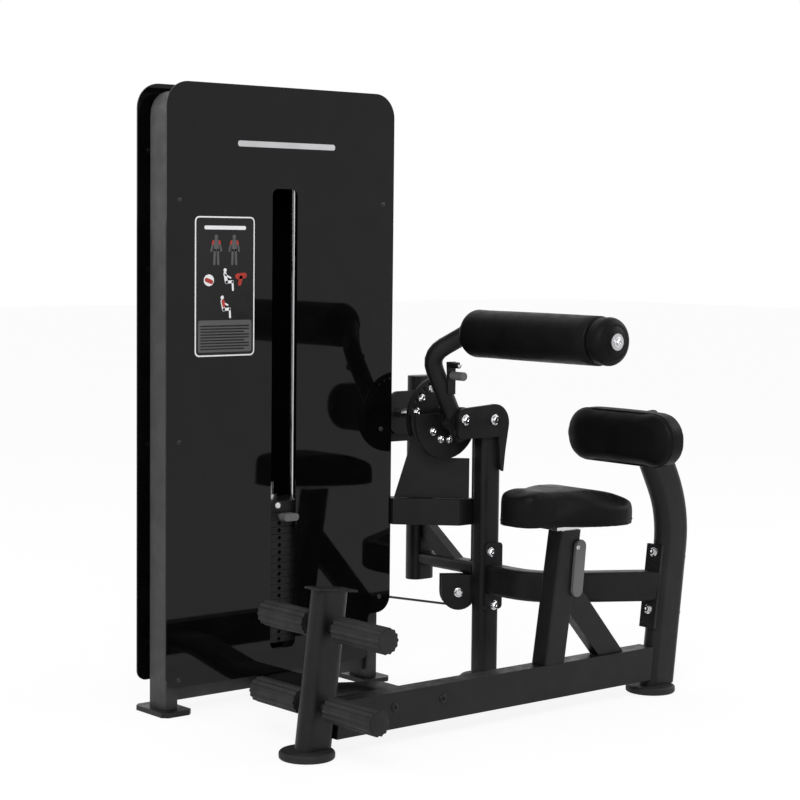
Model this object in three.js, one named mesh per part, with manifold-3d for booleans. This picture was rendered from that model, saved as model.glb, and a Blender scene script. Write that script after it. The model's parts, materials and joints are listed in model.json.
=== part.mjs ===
// Selectorized seated trunk machine: weight tower, low rail, seat, back pad and a pivoting roller arm.
// Millimetres, +Z up. X runs across the machine, Y from the foot pegs to the back pad.
import * as THREE from 'three';
import { mergeVertices } from 'three/addons/utils/BufferGeometryUtils.js';
import Module from 'manifold-3d';

const wasm = await Module();
wasm.setup();

// ---------- driving dimensions ----------
const GAP = 0.3; // clearance between pieces that rest on each other

// tower
const TOWER_X = -559;
const TOWER_MID_Y = 303.5;
const TOWER_HEIGHT = 1500;
const PANEL_WIDTH = 687;
const PANEL_BOTTOM = 69;
const PANEL_THICK = 4;
const PANEL_SPREAD = 128; // between the outer faces of the two panels
const PANEL_CORNER = 60;
const LEG_WIDTH = 75;
const LEG_DEPTH = 35;
const LEG_INSET = 18; // from the panel's edge to the leg's outer face
const NOTCH_WIDTH = 72;
const NOTCH_HEIGHT = 114;
const SLOT_WIDTH = 76;
const SLOT_BOTTOM = 128;
const SLOT_TOP = 1256;
const BASE_BAR_WIDTH = 50;
const BASE_BAR_BOTTOM = 30;
const BASE_BAR_TOP = 70;
const TOWER_FOOT = [134, 84, 12];

// weight stack
const PLATE_PITCH = 18;
const PLATE_THICK = 17.4;
const PLATE_COUNT = 18;
const PLATE_LENGTH = 300;
const PLATE_DEPTH = 96;
const STACK_BOTTOM = 140;
const TOP_PLATE_THICK = 27;
const SEPARATE_PLATES = 3; // upper plates kept as nodes of their own
const ROD_RADIUS = 9.5;
const ROD_OFFSET = 77;
const ROD_TOP = 1340;
const ROD_BAR_THICK = 8;
const STEM_RADIUS = 11;
const BORE_CLEARANCE = 1.5;
const PIN_RADIUS = 4.5;

// cable and pulleys
const CABLE_RADIUS = 3;
const PULLEY_RADIUS = 36; // of the cable's centre line
const PULLEY_RIM = 41;
const PULLEY_THICK = 14;
const PULLEY_AXLE = 5;
const RUNNING_CLEARANCE = 0.3;
const CABLE_TURN = THREE.MathUtils.degToRad(33); // plan angle of the low cable run from Y
const LOW_PULLEY = new THREE.Vector3(-405, 801, 230);
const TOWER_PULLEY_Z = 267;
const TOP_PULLEY_Z = 1395;
const CABLE_RISE_X = -575; // where the cable climbs inside the tower
const GUARD_SPACING = 26; // between a pulley's two side plates
const GUARD_THICK = 4;
const GUARD_RADIUS = 46;

// rail and posts
const RAIL_WIDTH = 50;
const RAIL_BOTTOM = 35;
const RAIL_TOP = 119;
const FOOT_DISC_RADIUS = 62.5;
const FOOT_DISC_THICK = 18;
const FRONT_POST = [50, 90];
const FRONT_POST_FOOT_Y = 14;
const FRONT_POST_SLOPE = 0.124;
const FRONT_POST_TOP = 366;
const PEG_HEIGHTS = [113, 287];
const PEG_AXLE_RADIUS = 14;
const PEG_START = 52;
const PEG_END = 215;
const PEG_RADIUS = 28;
const PEG_FLUTES = 14;
const REAR_FOOT_Y = 1099;
const REAR_POST = [50, 100];
const REAR_POST_PATH = [[1122, 18.3], [1172, 455], [1048, 694]];
const REAR_BEND = 300;

// side frame
const UPRIGHT_X = -340;
const UPRIGHT_Y = 837;
const UPRIGHT = [50, 62];
const UPRIGHT_TOP = 700;
const COLUMN_X = -600;
const COLUMN = [50, 80];
const COLUMN_BOTTOM = 236;
const COLUMN_TOP = 778;
const CROSSBAR_BOTTOM = 408;
const CROSSBAR_TOP = 475;
const CROSSBAR_THICK = 50;
const CROSSBAR_LINE = 1169; // its centre line is y = x + this
const LOW_TUBE = [276, 310];
const ARC_BEAM_Z = 271;
const ARC_BEAM = [50, 76];
const FLANGE_THICK = 8;

// moving arm
const PIVOT_Y = 731;
const PIVOT_Z = 686;
const SHAFT_RADIUS = 12.5;
const ARM_X = -340;
const ARM_RADIUS = 23;
const ARM_HUB_RADIUS = 32;
const ROLLER_Y = 697;
const ROLLER_Z = 908;
const ROLLER_RADIUS = 59;
const ROLLER_HALF = 243;
const ROLLER_AXLE = 12.5;
const INDEX_RADIUS = 106;
const INDEX_PLATE_X = -408;

// seat and back pad
const SEAT_POST = [50, 66];
const SEAT_POST_Y = 735;
const SEAT_POST_SLOPE = 0.153;
const SEAT_POST_TOP = 440;
const SEAT_STEM = [38, 50];
const SEAT_BASE_Z = 452;
const SEAT_NOSE_Y = 599;
const SEAT_REAR_Y = 926;
const SEAT_HALF_WIDTH = 145;
const SEAT_NOSE_HALF = 58;
const SEAT_HEIGHT = 90;
const SEAT_EDGE_HEIGHT = 40;
const BACK_PAD = [358, 55, 134];
const BACK_PAD_Y = 984.5;
const BACK_PAD_Z = 655;

// ---------- materials ----------
function material(color, roughness, metalness) {
  return new THREE.MeshStandardMaterial({ color, roughness, metalness });
}
const frameCoat = material(0x1c1c1e, 0.45, 0.2);
const glossPanel = material(0x0b0b0c, 0.08, 0.0);
const legCoat = material(0x38383a, 0.45, 0.2);
const leather = material(0x141414, 0.55, 0.0);
const rubber = material(0x1b1b1b, 0.8, 0.0);
const chrome = material(0xd8d8da, 0.12, 1.0);
const steel = material(0xa8a8aa, 0.35, 1.0);
const plateIron = material(0x161617, 0.5, 0.3);
const greyPlastic = material(0x76787a, 0.55, 0.0);
const blackPlastic = material(0x121213, 0.5, 0.0);
const cableCoat = material(0x0c0c0c, 0.4, 0.0);

// ---------- geometry helpers ----------
const AXIS_X = new THREE.Vector3(1, 0, 0);
const AXIS_Y = new THREE.Vector3(0, 1, 0);
const AXIS_Z = new THREE.Vector3(0, 0, 1);

function toSolid(geometry) {
  const bare = geometry.clone();
  bare.deleteAttribute('normal');
  bare.deleteAttribute('uv');
  const merged = mergeVertices(bare, 1e-4);
  const vertProperties = new Float32Array(merged.attributes.position.array);
  const triVerts = new Uint32Array(merged.index.array);
  return new wasm.Manifold(new wasm.Mesh({ numProp: 3, vertProperties, triVerts }));
}

function toGeometry(solid) {
  const mesh = solid.getMesh();
  const geometry = new THREE.BufferGeometry();
  geometry.setAttribute('position', new THREE.BufferAttribute(mesh.vertProperties, 3));
  geometry.setIndex(new THREE.BufferAttribute(mesh.triVerts, 1));
  return geometry;
}

function join(...pieces) {
  return toGeometry(pieces.map(toSolid).reduce((sum, piece) => sum.add(piece)));
}

function cut(base, ...tools) {
  return toGeometry(tools.map(toSolid).reduce((rest, tool) => rest.subtract(tool), toSolid(base)));
}

function overlap(first, second) {
  return toGeometry(toSolid(first).intersect(toSolid(second)));
}

function block(x0, x1, y0, y1, z0, z1) {
  const geometry = new THREE.BoxGeometry(x1 - x0, y1 - y0, z1 - z0);
  return geometry.translate((x0 + x1) / 2, (y0 + y1) / 2, (z0 + z1) / 2);
}

function ovalShape(width, depth) {
  const shape = new THREE.Shape();
  const radius = Math.min(width, depth) / 2;
  const reachX = width / 2 - radius;
  const reachY = depth / 2 - radius;
  if (reachY > 0) {
    shape.absarc(0, reachY, radius, 0, Math.PI, false);
    shape.absarc(0, -reachY, radius, Math.PI, 2 * Math.PI, false);
  } else {
    shape.absarc(reachX, 0, radius, -Math.PI / 2, Math.PI / 2, false);
    shape.absarc(-reachX, 0, radius, Math.PI / 2, 1.5 * Math.PI, false);
  }
  return shape;
}

function roundBoxShape(width, depth, radius) {
  const shape = new THREE.Shape();
  const x = width / 2 - radius;
  const y = depth / 2 - radius;
  shape.absarc(x, y, radius, 0, Math.PI / 2, false);
  shape.absarc(-x, y, radius, Math.PI / 2, Math.PI, false);
  shape.absarc(-x, -y, radius, Math.PI, 1.5 * Math.PI, false);
  shape.absarc(x, -y, radius, 1.5 * Math.PI, 2 * Math.PI, false);
  return shape;
}

function polygon(points) {
  return new THREE.Shape(points.map(([x, y]) => new THREE.Vector2(x, y)));
}

function slab(shape, thick, curveSegments = 5) {
  return new THREE.ExtrudeGeometry(shape, { depth: thick, bevelEnabled: false, curveSegments });
}

// a plate drawn in Y and Z whose thickness runs from xLow towards +X
function plateAcrossX(shape, xLow, thick, curveSegments) {
  const turn = new THREE.Matrix4().makeBasis(AXIS_Y, AXIS_Z, AXIS_X);
  return slab(shape, thick, curveSegments).applyMatrix4(turn).translate(xLow, 0, 0);
}

// a plate drawn in X and Z whose thickness runs from yHigh towards -Y
function plateAcrossY(shape, yHigh, thick, curveSegments) {
  const turn = new THREE.Matrix4().makeBasis(AXIS_X, AXIS_Z, AXIS_Y.clone().negate());
  return slab(shape, thick, curveSegments).applyMatrix4(turn).translate(0, yHigh, 0);
}

function rodAlongX(radius, x0, x1, y, z, sides = 16) {
  const geometry = new THREE.CylinderGeometry(radius, radius, x1 - x0, sides);
  return geometry.rotateZ(-Math.PI / 2).translate((x0 + x1) / 2, y, z);
}

function rodAlongZ(radius, z0, z1, x, y, sides = 16) {
  const geometry = new THREE.CylinderGeometry(radius, radius, z1 - z0, sides);
  return geometry.rotateX(Math.PI / 2).translate(x, y, (z0 + z1) / 2);
}

// a solid of revolution about X; each point of the profile is [radius, x]
function turnedAboutX(profile, sides) {
  const points = profile.map(([radius, x]) => new THREE.Vector2(radius, x));
  return new THREE.LatheGeometry(points, sides).rotateZ(-Math.PI / 2);
}

// leans a piece towards +Y by slope for each unit of height above the floor
function lean(geometry, slope) {
  return geometry.applyMatrix4(new THREE.Matrix4().makeShear(0, 0, 0, 0, 0, slope));
}

// a path of straight runs whose corners are replaced by bends
class BentPath extends THREE.Curve {
  constructor(corners, radius, bendSteps, across) {
    super();
    this.across = across;
    this.stations = [corners[0]];
    for (let i = 1; i < corners.length - 1; i += 1) {
      this.addBend(corners[i - 1], corners[i], corners[i + 1], radius, bendSteps);
    }
    this.stations.push(corners[corners.length - 1]);
  }

  addBend(before, corner, after, radius, bendSteps) {
    const into = corner.clone().sub(before).normalize();
    const out = after.clone().sub(corner).normalize();
    const reach = radius * Math.tan(into.angleTo(out) / 2);
    const start = corner.clone().addScaledVector(into, -reach);
    const end = corner.clone().addScaledVector(out, reach);
    const bend = new THREE.QuadraticBezierCurve3(start, corner, end);
    this.stations.push(...bend.getPoints(bendSteps));
  }

  station(index) {
    return this.stations[THREE.MathUtils.clamp(index, 0, this.stations.length - 1)];
  }

  getPointAt(u) {
    return this.station(Math.round(u * (this.stations.length - 1))).clone();
  }

  getTangentAt(u) {
    const index = Math.round(u * (this.stations.length - 1));
    const into = this.station(index).clone().sub(this.station(index - 1)).normalize();
    const out = this.station(index + 1).clone().sub(this.station(index)).normalize();
    return into.add(out).normalize();
  }

  computeFrenetFrames(segments, closed) {
    if (!this.across) return super.computeFrenetFrames(segments, closed);
    const frames = { tangents: [], normals: [], binormals: [] };
    for (let i = 0; i <= segments; i += 1) {
      const tangent = this.getTangentAt(i / segments);
      frames.tangents.push(tangent);
      frames.normals.push(this.across.clone());
      frames.binormals.push(new THREE.Vector3().crossVectors(tangent, this.across));
    }
    return frames;
  }
}

function sweep(section, path, curveSegments = 4) {
  const steps = path.stations.length - 1;
  return new THREE.ExtrudeGeometry(section, { extrudePath: path, steps, curveSegments });
}

const machine = new THREE.Group();

function add(name, geometry, finish, parent = machine) {
  const mesh = new THREE.Mesh(geometry, finish);
  mesh.name = name;
  parent.add(mesh);
  return mesh;
}

// ---------- derived places ----------
const panelLow = TOWER_MID_Y - PANEL_WIDTH / 2;
const panelHigh = TOWER_MID_Y + PANEL_WIDTH / 2;
const frontPanelBack = TOWER_X + PANEL_SPREAD / 2 - PANEL_THICK;
const rearPanelOuter = TOWER_X - PANEL_SPREAD / 2;
const legReach = PANEL_WIDTH / 2 - LEG_INSET - LEG_DEPTH / 2; // leg centre from the tower's middle
const legHigh = TOWER_MID_Y + legReach + LEG_DEPTH / 2; // outer face of the leg beside the seat
const legInner = TOWER_MID_Y + legReach - LEG_DEPTH / 2;
const archTop = TOWER_HEIGHT - LEG_INSET;
const archUnder = archTop - LEG_DEPTH;
const stackTop = STACK_BOTTOM + PLATE_COUNT * PLATE_PITCH;
const topPlateTop = stackTop + TOP_PLATE_THICK;
const towerFront = TOWER_X + LEG_WIDTH / 2;
const towerRear = TOWER_X - LEG_WIDTH / 2;

const along = new THREE.Vector3(Math.sin(CABLE_TURN), Math.cos(CABLE_TURN), 0);
const lowRun = (LOW_PULLEY.x - CABLE_RISE_X) / Math.sin(CABLE_TURN);
const rise = LOW_PULLEY.clone().addScaledVector(along, -lowRun);
const towerPulley = rise.clone().addScaledVector(along, PULLEY_RADIUS).setZ(TOWER_PULLEY_Z);
const drop = LOW_PULLEY.clone().addScaledVector(along, PULLEY_RADIUS); // cable up to the cam
const camRadius = drop.y - PIVOT_Y;
const topAlong = new THREE.Vector3(TOWER_X - rise.x, TOWER_MID_Y - rise.y, 0).normalize();
const riseTopPulley = rise.clone().addScaledVector(topAlong, PULLEY_RADIUS).setZ(TOP_PULLEY_Z);
const stackTopPulley = new THREE.Vector3(TOWER_X, TOWER_MID_Y, TOP_PULLEY_Z)
  .addScaledVector(topAlong, -PULLEY_RADIUS);

// ---------- tower ----------
function towerFrame() {
  const y = (side) => TOWER_MID_Y + side * legReach;
  const foot = TOWER_FOOT[2] + GAP;
  const top = archTop - LEG_DEPTH / 2;
  const corners = [
    new THREE.Vector3(TOWER_X, y(-1), foot),
    new THREE.Vector3(TOWER_X, y(-1), top),
    new THREE.Vector3(TOWER_X, y(1), top),
    new THREE.Vector3(TOWER_X, y(1), foot),
  ];
  const arch = sweep(roundBoxShape(LEG_WIDTH, LEG_DEPTH, 6), new BentPath(corners, 45, 5, AXIS_X), 1);
  const barHalf = BASE_BAR_WIDTH / 2;
  const bar = block(TOWER_X - barHalf, TOWER_X + barHalf, y(-1), y(1), BASE_BAR_BOTTOM, BASE_BAR_TOP);
  // the pulley and its cable pass through this window in the leg
  const windowWidth = 42;
  const pulleyWindow = block(towerFront - windowWidth, towerFront + 1, legInner - 1, legHigh + 1,
    TOWER_PULLEY_Z - GUARD_RADIUS - 16, TOWER_PULLEY_Z + GUARD_RADIUS + 7);
  return cut(join(arch, bar), pulleyWindow);
}

function towerFoot(side) {
  const [width, length, thick] = TOWER_FOOT;
  const chamfer = 12;
  const x = width / 2;
  const y = length / 2;
  const outline = polygon([
    [-x, -y + chamfer], [-x + chamfer, -y], [x - chamfer, -y], [x, -y + chamfer],
    [x, y - chamfer], [x - chamfer, y], [-x + chamfer, y], [-x, y - chamfer],
  ]);
  return slab(outline, thick).translate(TOWER_X, TOWER_MID_Y + side * legReach, 0);
}

function panelOutline(notched) {
  const shape = new THREE.Shape();
  const r = PANEL_CORNER;
  const foot = panelHigh - (notched ? NOTCH_WIDTH : 0);
  shape.absarc(panelHigh - r, TOWER_HEIGHT - r, r, 0, Math.PI / 2, false);
  shape.absarc(panelLow + r, TOWER_HEIGHT - r, r, Math.PI / 2, Math.PI, false);
  shape.absarc(panelLow + 25, PANEL_BOTTOM + 25, 25, Math.PI, 1.5 * Math.PI, false);
  shape.absarc(foot - 20, PANEL_BOTTOM + 20, 20, 1.5 * Math.PI, 2 * Math.PI, false);
  if (notched) {
    const shelf = PANEL_BOTTOM + NOTCH_HEIGHT;
    shape.absarc(foot + 12, shelf - 12, 12, Math.PI, Math.PI / 2, true);
    shape.absarc(panelHigh - 42, shelf + 42, 42, 1.5 * Math.PI, 2 * Math.PI, false);
  }
  return shape;
}

// short bosses hold a panel off the legs
function panelBosses(x0, x1) {
  const heights = [160, 640, 1060, 1340];
  const bosses = [];
  for (const side of [-1, 1]) {
    for (const z of heights) {
      const lowest = side > 0 && z < 350 ? z + 200 : z;
      bosses.push(rodAlongX(9, x0, x1, TOWER_MID_Y + side * legReach, lowest, 8));
    }
  }
  return bosses;
}

function frontPanel() {
  const sheet = plateAcrossX(panelOutline(true), frontPanelBack, PANEL_THICK, 6);
  const middle = (SLOT_BOTTOM + SLOT_TOP) / 2;
  const slotShape = roundBoxShape(SLOT_WIDTH, SLOT_TOP - SLOT_BOTTOM, 16);
  const slot = plateAcrossX(slotShape, frontPanelBack - 5, PANEL_THICK + 10, 4);
  slot.translate(0, TOWER_MID_Y, middle);
  return join(cut(sheet, slot), ...panelBosses(towerFront + GAP, frontPanelBack + 1));
}

function rearPanel() {
  const sheet = plateAcrossX(panelOutline(false), rearPanelOuter, PANEL_THICK, 6);
  return join(sheet, ...panelBosses(rearPanelOuter + PANEL_THICK - 1, towerRear - GAP));
}

add('tower_frame', towerFrame(), legCoat);
add('tower_foot_front', towerFoot(-1), frameCoat);
add('tower_foot_rear', towerFoot(1), frameCoat);
add('front_panel', frontPanel(), glossPanel);
add('rear_panel', rearPanel(), glossPanel);

// ---------- weight stack ----------
const rodPlaces = [-ROD_OFFSET, ROD_OFFSET].map((offset) => TOWER_MID_Y + offset);

function stackBores(z0, z1) {
  const radius = ROD_RADIUS + BORE_CLEARANCE;
  const bores = rodPlaces.map((y) => rodAlongZ(radius, z0, z1, TOWER_X, y, 12));
  bores.push(rodAlongZ(STEM_RADIUS + BORE_CLEARANCE, z0, z1, TOWER_X, TOWER_MID_Y, 12));
  return bores;
}

function plateBlank(z0, thick, trim) {
  const depth = PLATE_DEPTH / 2 - trim;
  const length = PLATE_LENGTH / 2 - trim;
  return block(TOWER_X - depth, TOWER_X + depth, TOWER_MID_Y - length, TOWER_MID_Y + length, z0, z0 + thick);
}

function plateAt(index) {
  const z0 = STACK_BOTTOM + (PLATE_COUNT - index) * PLATE_PITCH;
  const blank = plateBlank(z0, PLATE_THICK, 0);
  const pinBore = rodAlongX(PIN_RADIUS + 1, TOWER_X, TOWER_X + PLATE_DEPTH, TOWER_MID_Y,
    z0 + PLATE_THICK / 2, 10);
  return cut(blank, ...stackBores(z0 - 1, z0 + PLATE_PITCH), pinBore);
}

function lowerPlates() {
  const count = PLATE_COUNT - SEPARATE_PLATES;
  const height = (count - 1) * PLATE_PITCH + PLATE_THICK;
  const pieces = [plateBlank(STACK_BOTTOM, height, 3)];
  for (let i = 0; i < count; i += 1) {
    pieces.push(plateBlank(STACK_BOTTOM + i * PLATE_PITCH, PLATE_THICK, 0));
  }
  return cut(join(...pieces), ...stackBores(STACK_BOTTOM - 1, STACK_BOTTOM + height + 1));
}

function topPlate() {
  const blank = plateBlank(stackTop, TOP_PLATE_THICK, 0);
  return cut(blank, ...stackBores(stackTop - 1, topPlateTop + 1));
}

// the selector stem hangs from the top plate by its collar, down through the bores
function selectorStem() {
  const reach = 11 * PLATE_PITCH;
  const stem = rodAlongZ(STEM_RADIUS, stackTop - reach, topPlateTop + 8, TOWER_X, TOWER_MID_Y, 12);
  const collar = rodAlongZ(22, topPlateTop + GAP, topPlateTop + 14, TOWER_X, TOWER_MID_Y, 12);
  const socket = rodAlongZ(14, topPlateTop + 12, topPlateTop + 44, TOWER_X, TOWER_MID_Y, 12);
  const pinHoles = [];
  for (let i = 0; i < SEPARATE_PLATES; i += 1) {
    const z = stackTop - PLATE_PITCH + PLATE_THICK / 2 - i * PLATE_PITCH;
    pinHoles.push(rodAlongX(PIN_RADIUS + 1, TOWER_X - 4, TOWER_X + 30, TOWER_MID_Y, z, 10));
  }
  return cut(join(stem, collar, socket), ...pinHoles);
}

function selectorPin() {
  const z = stackTop - PLATE_PITCH + PLATE_THICK / 2;
  const shank = rodAlongX(PIN_RADIUS, TOWER_X - 3, frontPanelBack + 8, TOWER_MID_Y, z, 10);
  const grip = plateAcrossX(roundBoxShape(44, 18, 8), frontPanelBack + 6, 22, 3);
  grip.translate(0, TOWER_MID_Y + 8, z);
  return join(shank, grip);
}

function bumper(y) {
  const z0 = BASE_BAR_TOP + GAP;
  const ring = rodAlongZ(24, z0, STACK_BOTTOM - GAP, TOWER_X, y, 16);
  return cut(ring, rodAlongZ(ROD_RADIUS + GAP, z0 - 1, STACK_BOTTOM + 1, TOWER_X, y, 16));
}

function rodBar() {
  const inner = legReach - LEG_DEPTH / 2 - GAP;
  const bar = block(TOWER_X - 27, TOWER_X + 27, TOWER_MID_Y - inner, TOWER_MID_Y + inner, ROD_TOP,
    ROD_TOP + ROD_BAR_THICK);
  const cableHole = rodAlongZ(12, ROD_TOP - 1, ROD_TOP + 20, TOWER_X, TOWER_MID_Y, 12);
  const riseHole = rodAlongZ(8, ROD_TOP - 1, ROD_TOP + 20, rise.x, rise.y, 12);
  return cut(bar, cableHole, riseHole);
}

rodPlaces.forEach((y, i) => {
  const side = ['front', 'rear'][i];
  add(`guide_rod_${side}`, rodAlongZ(ROD_RADIUS, BASE_BAR_TOP + GAP, ROD_TOP - GAP, TOWER_X, y, 16), chrome);
  add(`stack_bumper_${side}`, bumper(y), rubber);
});
add('rod_top_bar', rodBar(), frameCoat);
add('top_plate', topPlate(), plateIron);
add('selector_stem', selectorStem(), steel);
add('selector_pin', selectorPin(), greyPlastic);
for (let i = 1; i <= SEPARATE_PLATES; i += 1) add(`weight_plate_${i}`, plateAt(i), plateIron);
add('lower_weight_plates', lowerPlates(), plateIron);

// ---------- pulleys and cable ----------
function pulleyWheel() {
  const half = PULLEY_THICK / 2;
  const bore = PULLEY_AXLE + RUNNING_CLEARANCE;
  const floor = PULLEY_RADIUS - CABLE_RADIUS - GAP;
  return turnedAboutX([
    [bore, -half], [PULLEY_RIM, -half], [PULLEY_RIM, -half + 2], [floor, -CABLE_RADIUS - 0.5],
    [floor, CABLE_RADIUS + 0.5], [PULLEY_RIM, half - 2], [PULLEY_RIM, half], [bore, half], [bore, -half],
  ], 28);
}

// two side plates with the pulley's axle between them; lowerEdge and upperEdge are heights from the axle
function pulleyGuard(halfLength, lowerEdge, upperEdge, round) {
  const outline = new THREE.Shape();
  const arc = Math.min(halfLength, GUARD_RADIUS);
  if (round === 'bottom') {
    outline.absarc(0, 0, arc, Math.PI, 2 * Math.PI, false);
    outline.lineTo(arc, upperEdge);
    outline.lineTo(-arc, upperEdge);
  } else {
    outline.absarc(0, 0, arc, 0, Math.PI, false);
    outline.lineTo(-arc, lowerEdge);
    outline.lineTo(arc, lowerEdge);
  }
  const inner = GUARD_SPACING / 2;
  const plates = [-1, 1].map((side) => {
    const low = side > 0 ? inner : -inner - GUARD_THICK;
    return plateAcrossX(outline, low, GUARD_THICK, 8);
  });
  return join(...plates, rodAlongX(PULLEY_AXLE, -inner - 1, inner + 1, 0, 0, 16));
}

// a channel under the tower's top bar that carries both top pulleys
function topBracket(spread) {
  const half = spread / 2 + GUARD_RADIUS;
  const inner = GUARD_SPACING / 2;
  const web = archUnder - GAP - TOP_PULLEY_Z;
  const pieces = [block(-inner - GUARD_THICK, inner + GUARD_THICK, -half, half, web - 5, web)];
  for (const side of [-1, 1]) {
    const low = side > 0 ? inner : -inner - GUARD_THICK;
    pieces.push(block(low, low + GUARD_THICK, -half, half, -14, web - 1));
    pieces.push(rodAlongX(PULLEY_AXLE, -inner - 1, inner + 1, (side * spread) / 2, 0, 16));
  }
  return join(...pieces);
}

function placed(position, turn) {
  const group = new THREE.Group();
  group.position.copy(position);
  group.rotation.z = turn;
  machine.add(group);
  return group;
}

const topTurn = Math.atan2(-topAlong.x, topAlong.y) + Math.PI;
const topMiddle = riseTopPulley.clone().add(stackTopPulley).multiplyScalar(0.5);
const topSpread = riseTopPulley.distanceTo(stackTopPulley);
const lowPlace = placed(LOW_PULLEY, -CABLE_TURN);
const towerPlace = placed(towerPulley, -CABLE_TURN);
add('low_pulley', pulleyWheel(), blackPlastic, lowPlace);
add('low_pulley_guard', pulleyGuard(GUARD_RADIUS, 0, LOW_TUBE[0] - GAP - LOW_PULLEY.z, 'bottom'),
  frameCoat, lowPlace);
add('tower_pulley', pulleyWheel(), blackPlastic, towerPlace);
add('tower_pulley_bracket', pulleyGuard(GUARD_RADIUS, GAP - GUARD_RADIUS - 16, 0, 'top'), frameCoat,
  towerPlace);
add('rise_top_pulley', pulleyWheel(), blackPlastic, placed(riseTopPulley, topTurn));
add('stack_top_pulley', pulleyWheel(), blackPlastic, placed(stackTopPulley, topTurn));
add('top_pulley_bracket', topBracket(topSpread), frameCoat, placed(topMiddle, topTurn));

function quarterTurn(centre, outward, from, to, steps) {
  const points = [];
  for (let i = 0; i <= steps; i += 1) {
    const angle = THREE.MathUtils.degToRad(from + ((to - from) * i) / steps);
    const point = centre.clone().addScaledVector(outward, PULLEY_RADIUS * Math.cos(angle));
    points.push(point.add(new THREE.Vector3(0, 0, PULLEY_RADIUS * Math.sin(angle))));
  }
  return points;
}

function mainCable() {
  const climb = Math.atan2(TOWER_PULLEY_Z - LOW_PULLEY.z, lowRun - PULLEY_RADIUS);
  const tilt = THREE.MathUtils.radToDeg(climb);
  const points = [
    drop.clone().setZ(PIVOT_Z - 4),
    ...quarterTurn(LOW_PULLEY, along, 0, -90 - tilt, 7),
    ...quarterTurn(towerPulley, along, -90 - tilt, -180, 7),
    ...quarterTurn(riseTopPulley, topAlong, 180, 90, 7),
    ...quarterTurn(stackTopPulley, topAlong, 90, 0, 7),
  ];
  const path = new BentPath([points[0], points[points.length - 1]], 0, 1, null);
  path.stations = points;
  return sweep(ovalShape(2 * CABLE_RADIUS, 2 * CABLE_RADIUS), path, 4);
}

function stackCable() {
  return rodAlongZ(CABLE_RADIUS, topPlateTop + 44 + GAP, TOP_PULLEY_Z - GAP, TOWER_X, TOWER_MID_Y, 8);
}

add('main_cable', mainCable(), cableCoat);
add('stack_cable', stackCable(), cableCoat);

// ---------- rail, front post and pegs ----------
const rearSlope = (REAR_POST_PATH[1][0] - REAR_POST_PATH[0][0]) / (REAR_POST_PATH[1][1] - REAR_POST_PATH[0][1]);

function frontPostY(z) {
  return FRONT_POST_FOOT_Y + FRONT_POST_SLOPE * z;
}

function rearPostFront(z) {
  const slant = Math.hypot(1, rearSlope);
  return REAR_POST_PATH[0][0] + rearSlope * (z - REAR_POST_PATH[0][1]) - (REAR_POST[1] / 2) * slant;
}

function rail() {
  const start = (z) => frontPostY(z) + FRONT_POST[1] / 2 + GAP;
  const end = (z) => rearPostFront(z) - GAP;
  const outline = polygon([
    [start(RAIL_BOTTOM), RAIL_BOTTOM], [end(RAIL_BOTTOM), RAIL_BOTTOM],
    [end(RAIL_TOP), RAIL_TOP], [start(RAIL_TOP), RAIL_TOP],
  ]);
  return plateAcrossX(outline, -RAIL_WIDTH / 2, RAIL_WIDTH);
}

function footDisc(x, y) {
  const r = FOOT_DISC_RADIUS;
  const profile = [[0, 0], [r - 3, 0], [r, 3], [r, FOOT_DISC_THICK - 4], [r - 4, FOOT_DISC_THICK],
    [0, FOOT_DISC_THICK]];
  const points = profile.map(([radius, height]) => new THREE.Vector2(radius, height));
  return new THREE.LatheGeometry(points, 28).rotateX(Math.PI / 2).translate(x, y, 0);
}

function frontPost() {
  const bottom = FOOT_DISC_THICK + GAP;
  const blank = slab(ovalShape(...FRONT_POST), FRONT_POST_TOP + 20 - bottom, 6).translate(0, 0, bottom);
  lean(blank, FRONT_POST_SLOPE).translate(0, FRONT_POST_FOOT_Y, 0);
  const above = block(-60, 60, -100, 100, 0, 60).rotateX(-Math.atan(FRONT_POST_SLOPE));
  above.translate(0, frontPostY(FRONT_POST_TOP), FRONT_POST_TOP);
  const bores = PEG_HEIGHTS.map((z) => rodAlongX(PEG_AXLE_RADIUS + GAP, -60, 60, frontPostY(z), z, 16));
  return cut(blank, above, ...bores);
}

function frontPostCap() {
  const cap = plateAcrossX(polygon([[-52, 0], [62, 0], [58, 5], [-48, 5]]), -27, 54);
  cap.rotateX(-Math.atan(FRONT_POST_SLOPE));
  return cap.translate(0, frontPostY(FRONT_POST_TOP), FRONT_POST_TOP + GAP);
}

function pegGrip(side, z) {
  const outline = new THREE.Shape();
  const steps = 4 * PEG_FLUTES;
  for (let i = 0; i < steps; i += 1) {
    const angle = (2 * Math.PI * i) / steps;
    const radius = PEG_RADIUS + 1.5 * Math.cos(PEG_FLUTES * angle);
    const point = [radius * Math.cos(angle), radius * Math.sin(angle)];
    if (i === 0) outline.moveTo(...point);
    else outline.lineTo(...point);
  }
  const blank = plateAcrossX(outline, PEG_START, PEG_END - PEG_START);
  const bore = rodAlongX(PEG_AXLE_RADIUS + GAP, PEG_START - 1, PEG_END - 6, 0, 0, 16);
  const grip = cut(blank, bore);
  if (side < 0) grip.rotateZ(Math.PI);
  return grip.translate(0, frontPostY(z), z);
}

add('main_rail', rail(), frameCoat);
add('front_foot', footDisc(0, 0), rubber);
add('front_post', frontPost(), frameCoat);
add('front_post_cap', frontPostCap(), frameCoat);
PEG_HEIGHTS.forEach((z, i) => {
  const level = ['lower', 'upper'][i];
  const reach = PEG_END - 7;
  add(`peg_axle_${level}`, rodAlongX(PEG_AXLE_RADIUS, -reach, reach, frontPostY(z), z, 16), frameCoat);
  add(`peg_grip_${level}_left`, pegGrip(-1, z), rubber);
  add(`peg_grip_${level}_right`, pegGrip(1, z), rubber);
});

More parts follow.
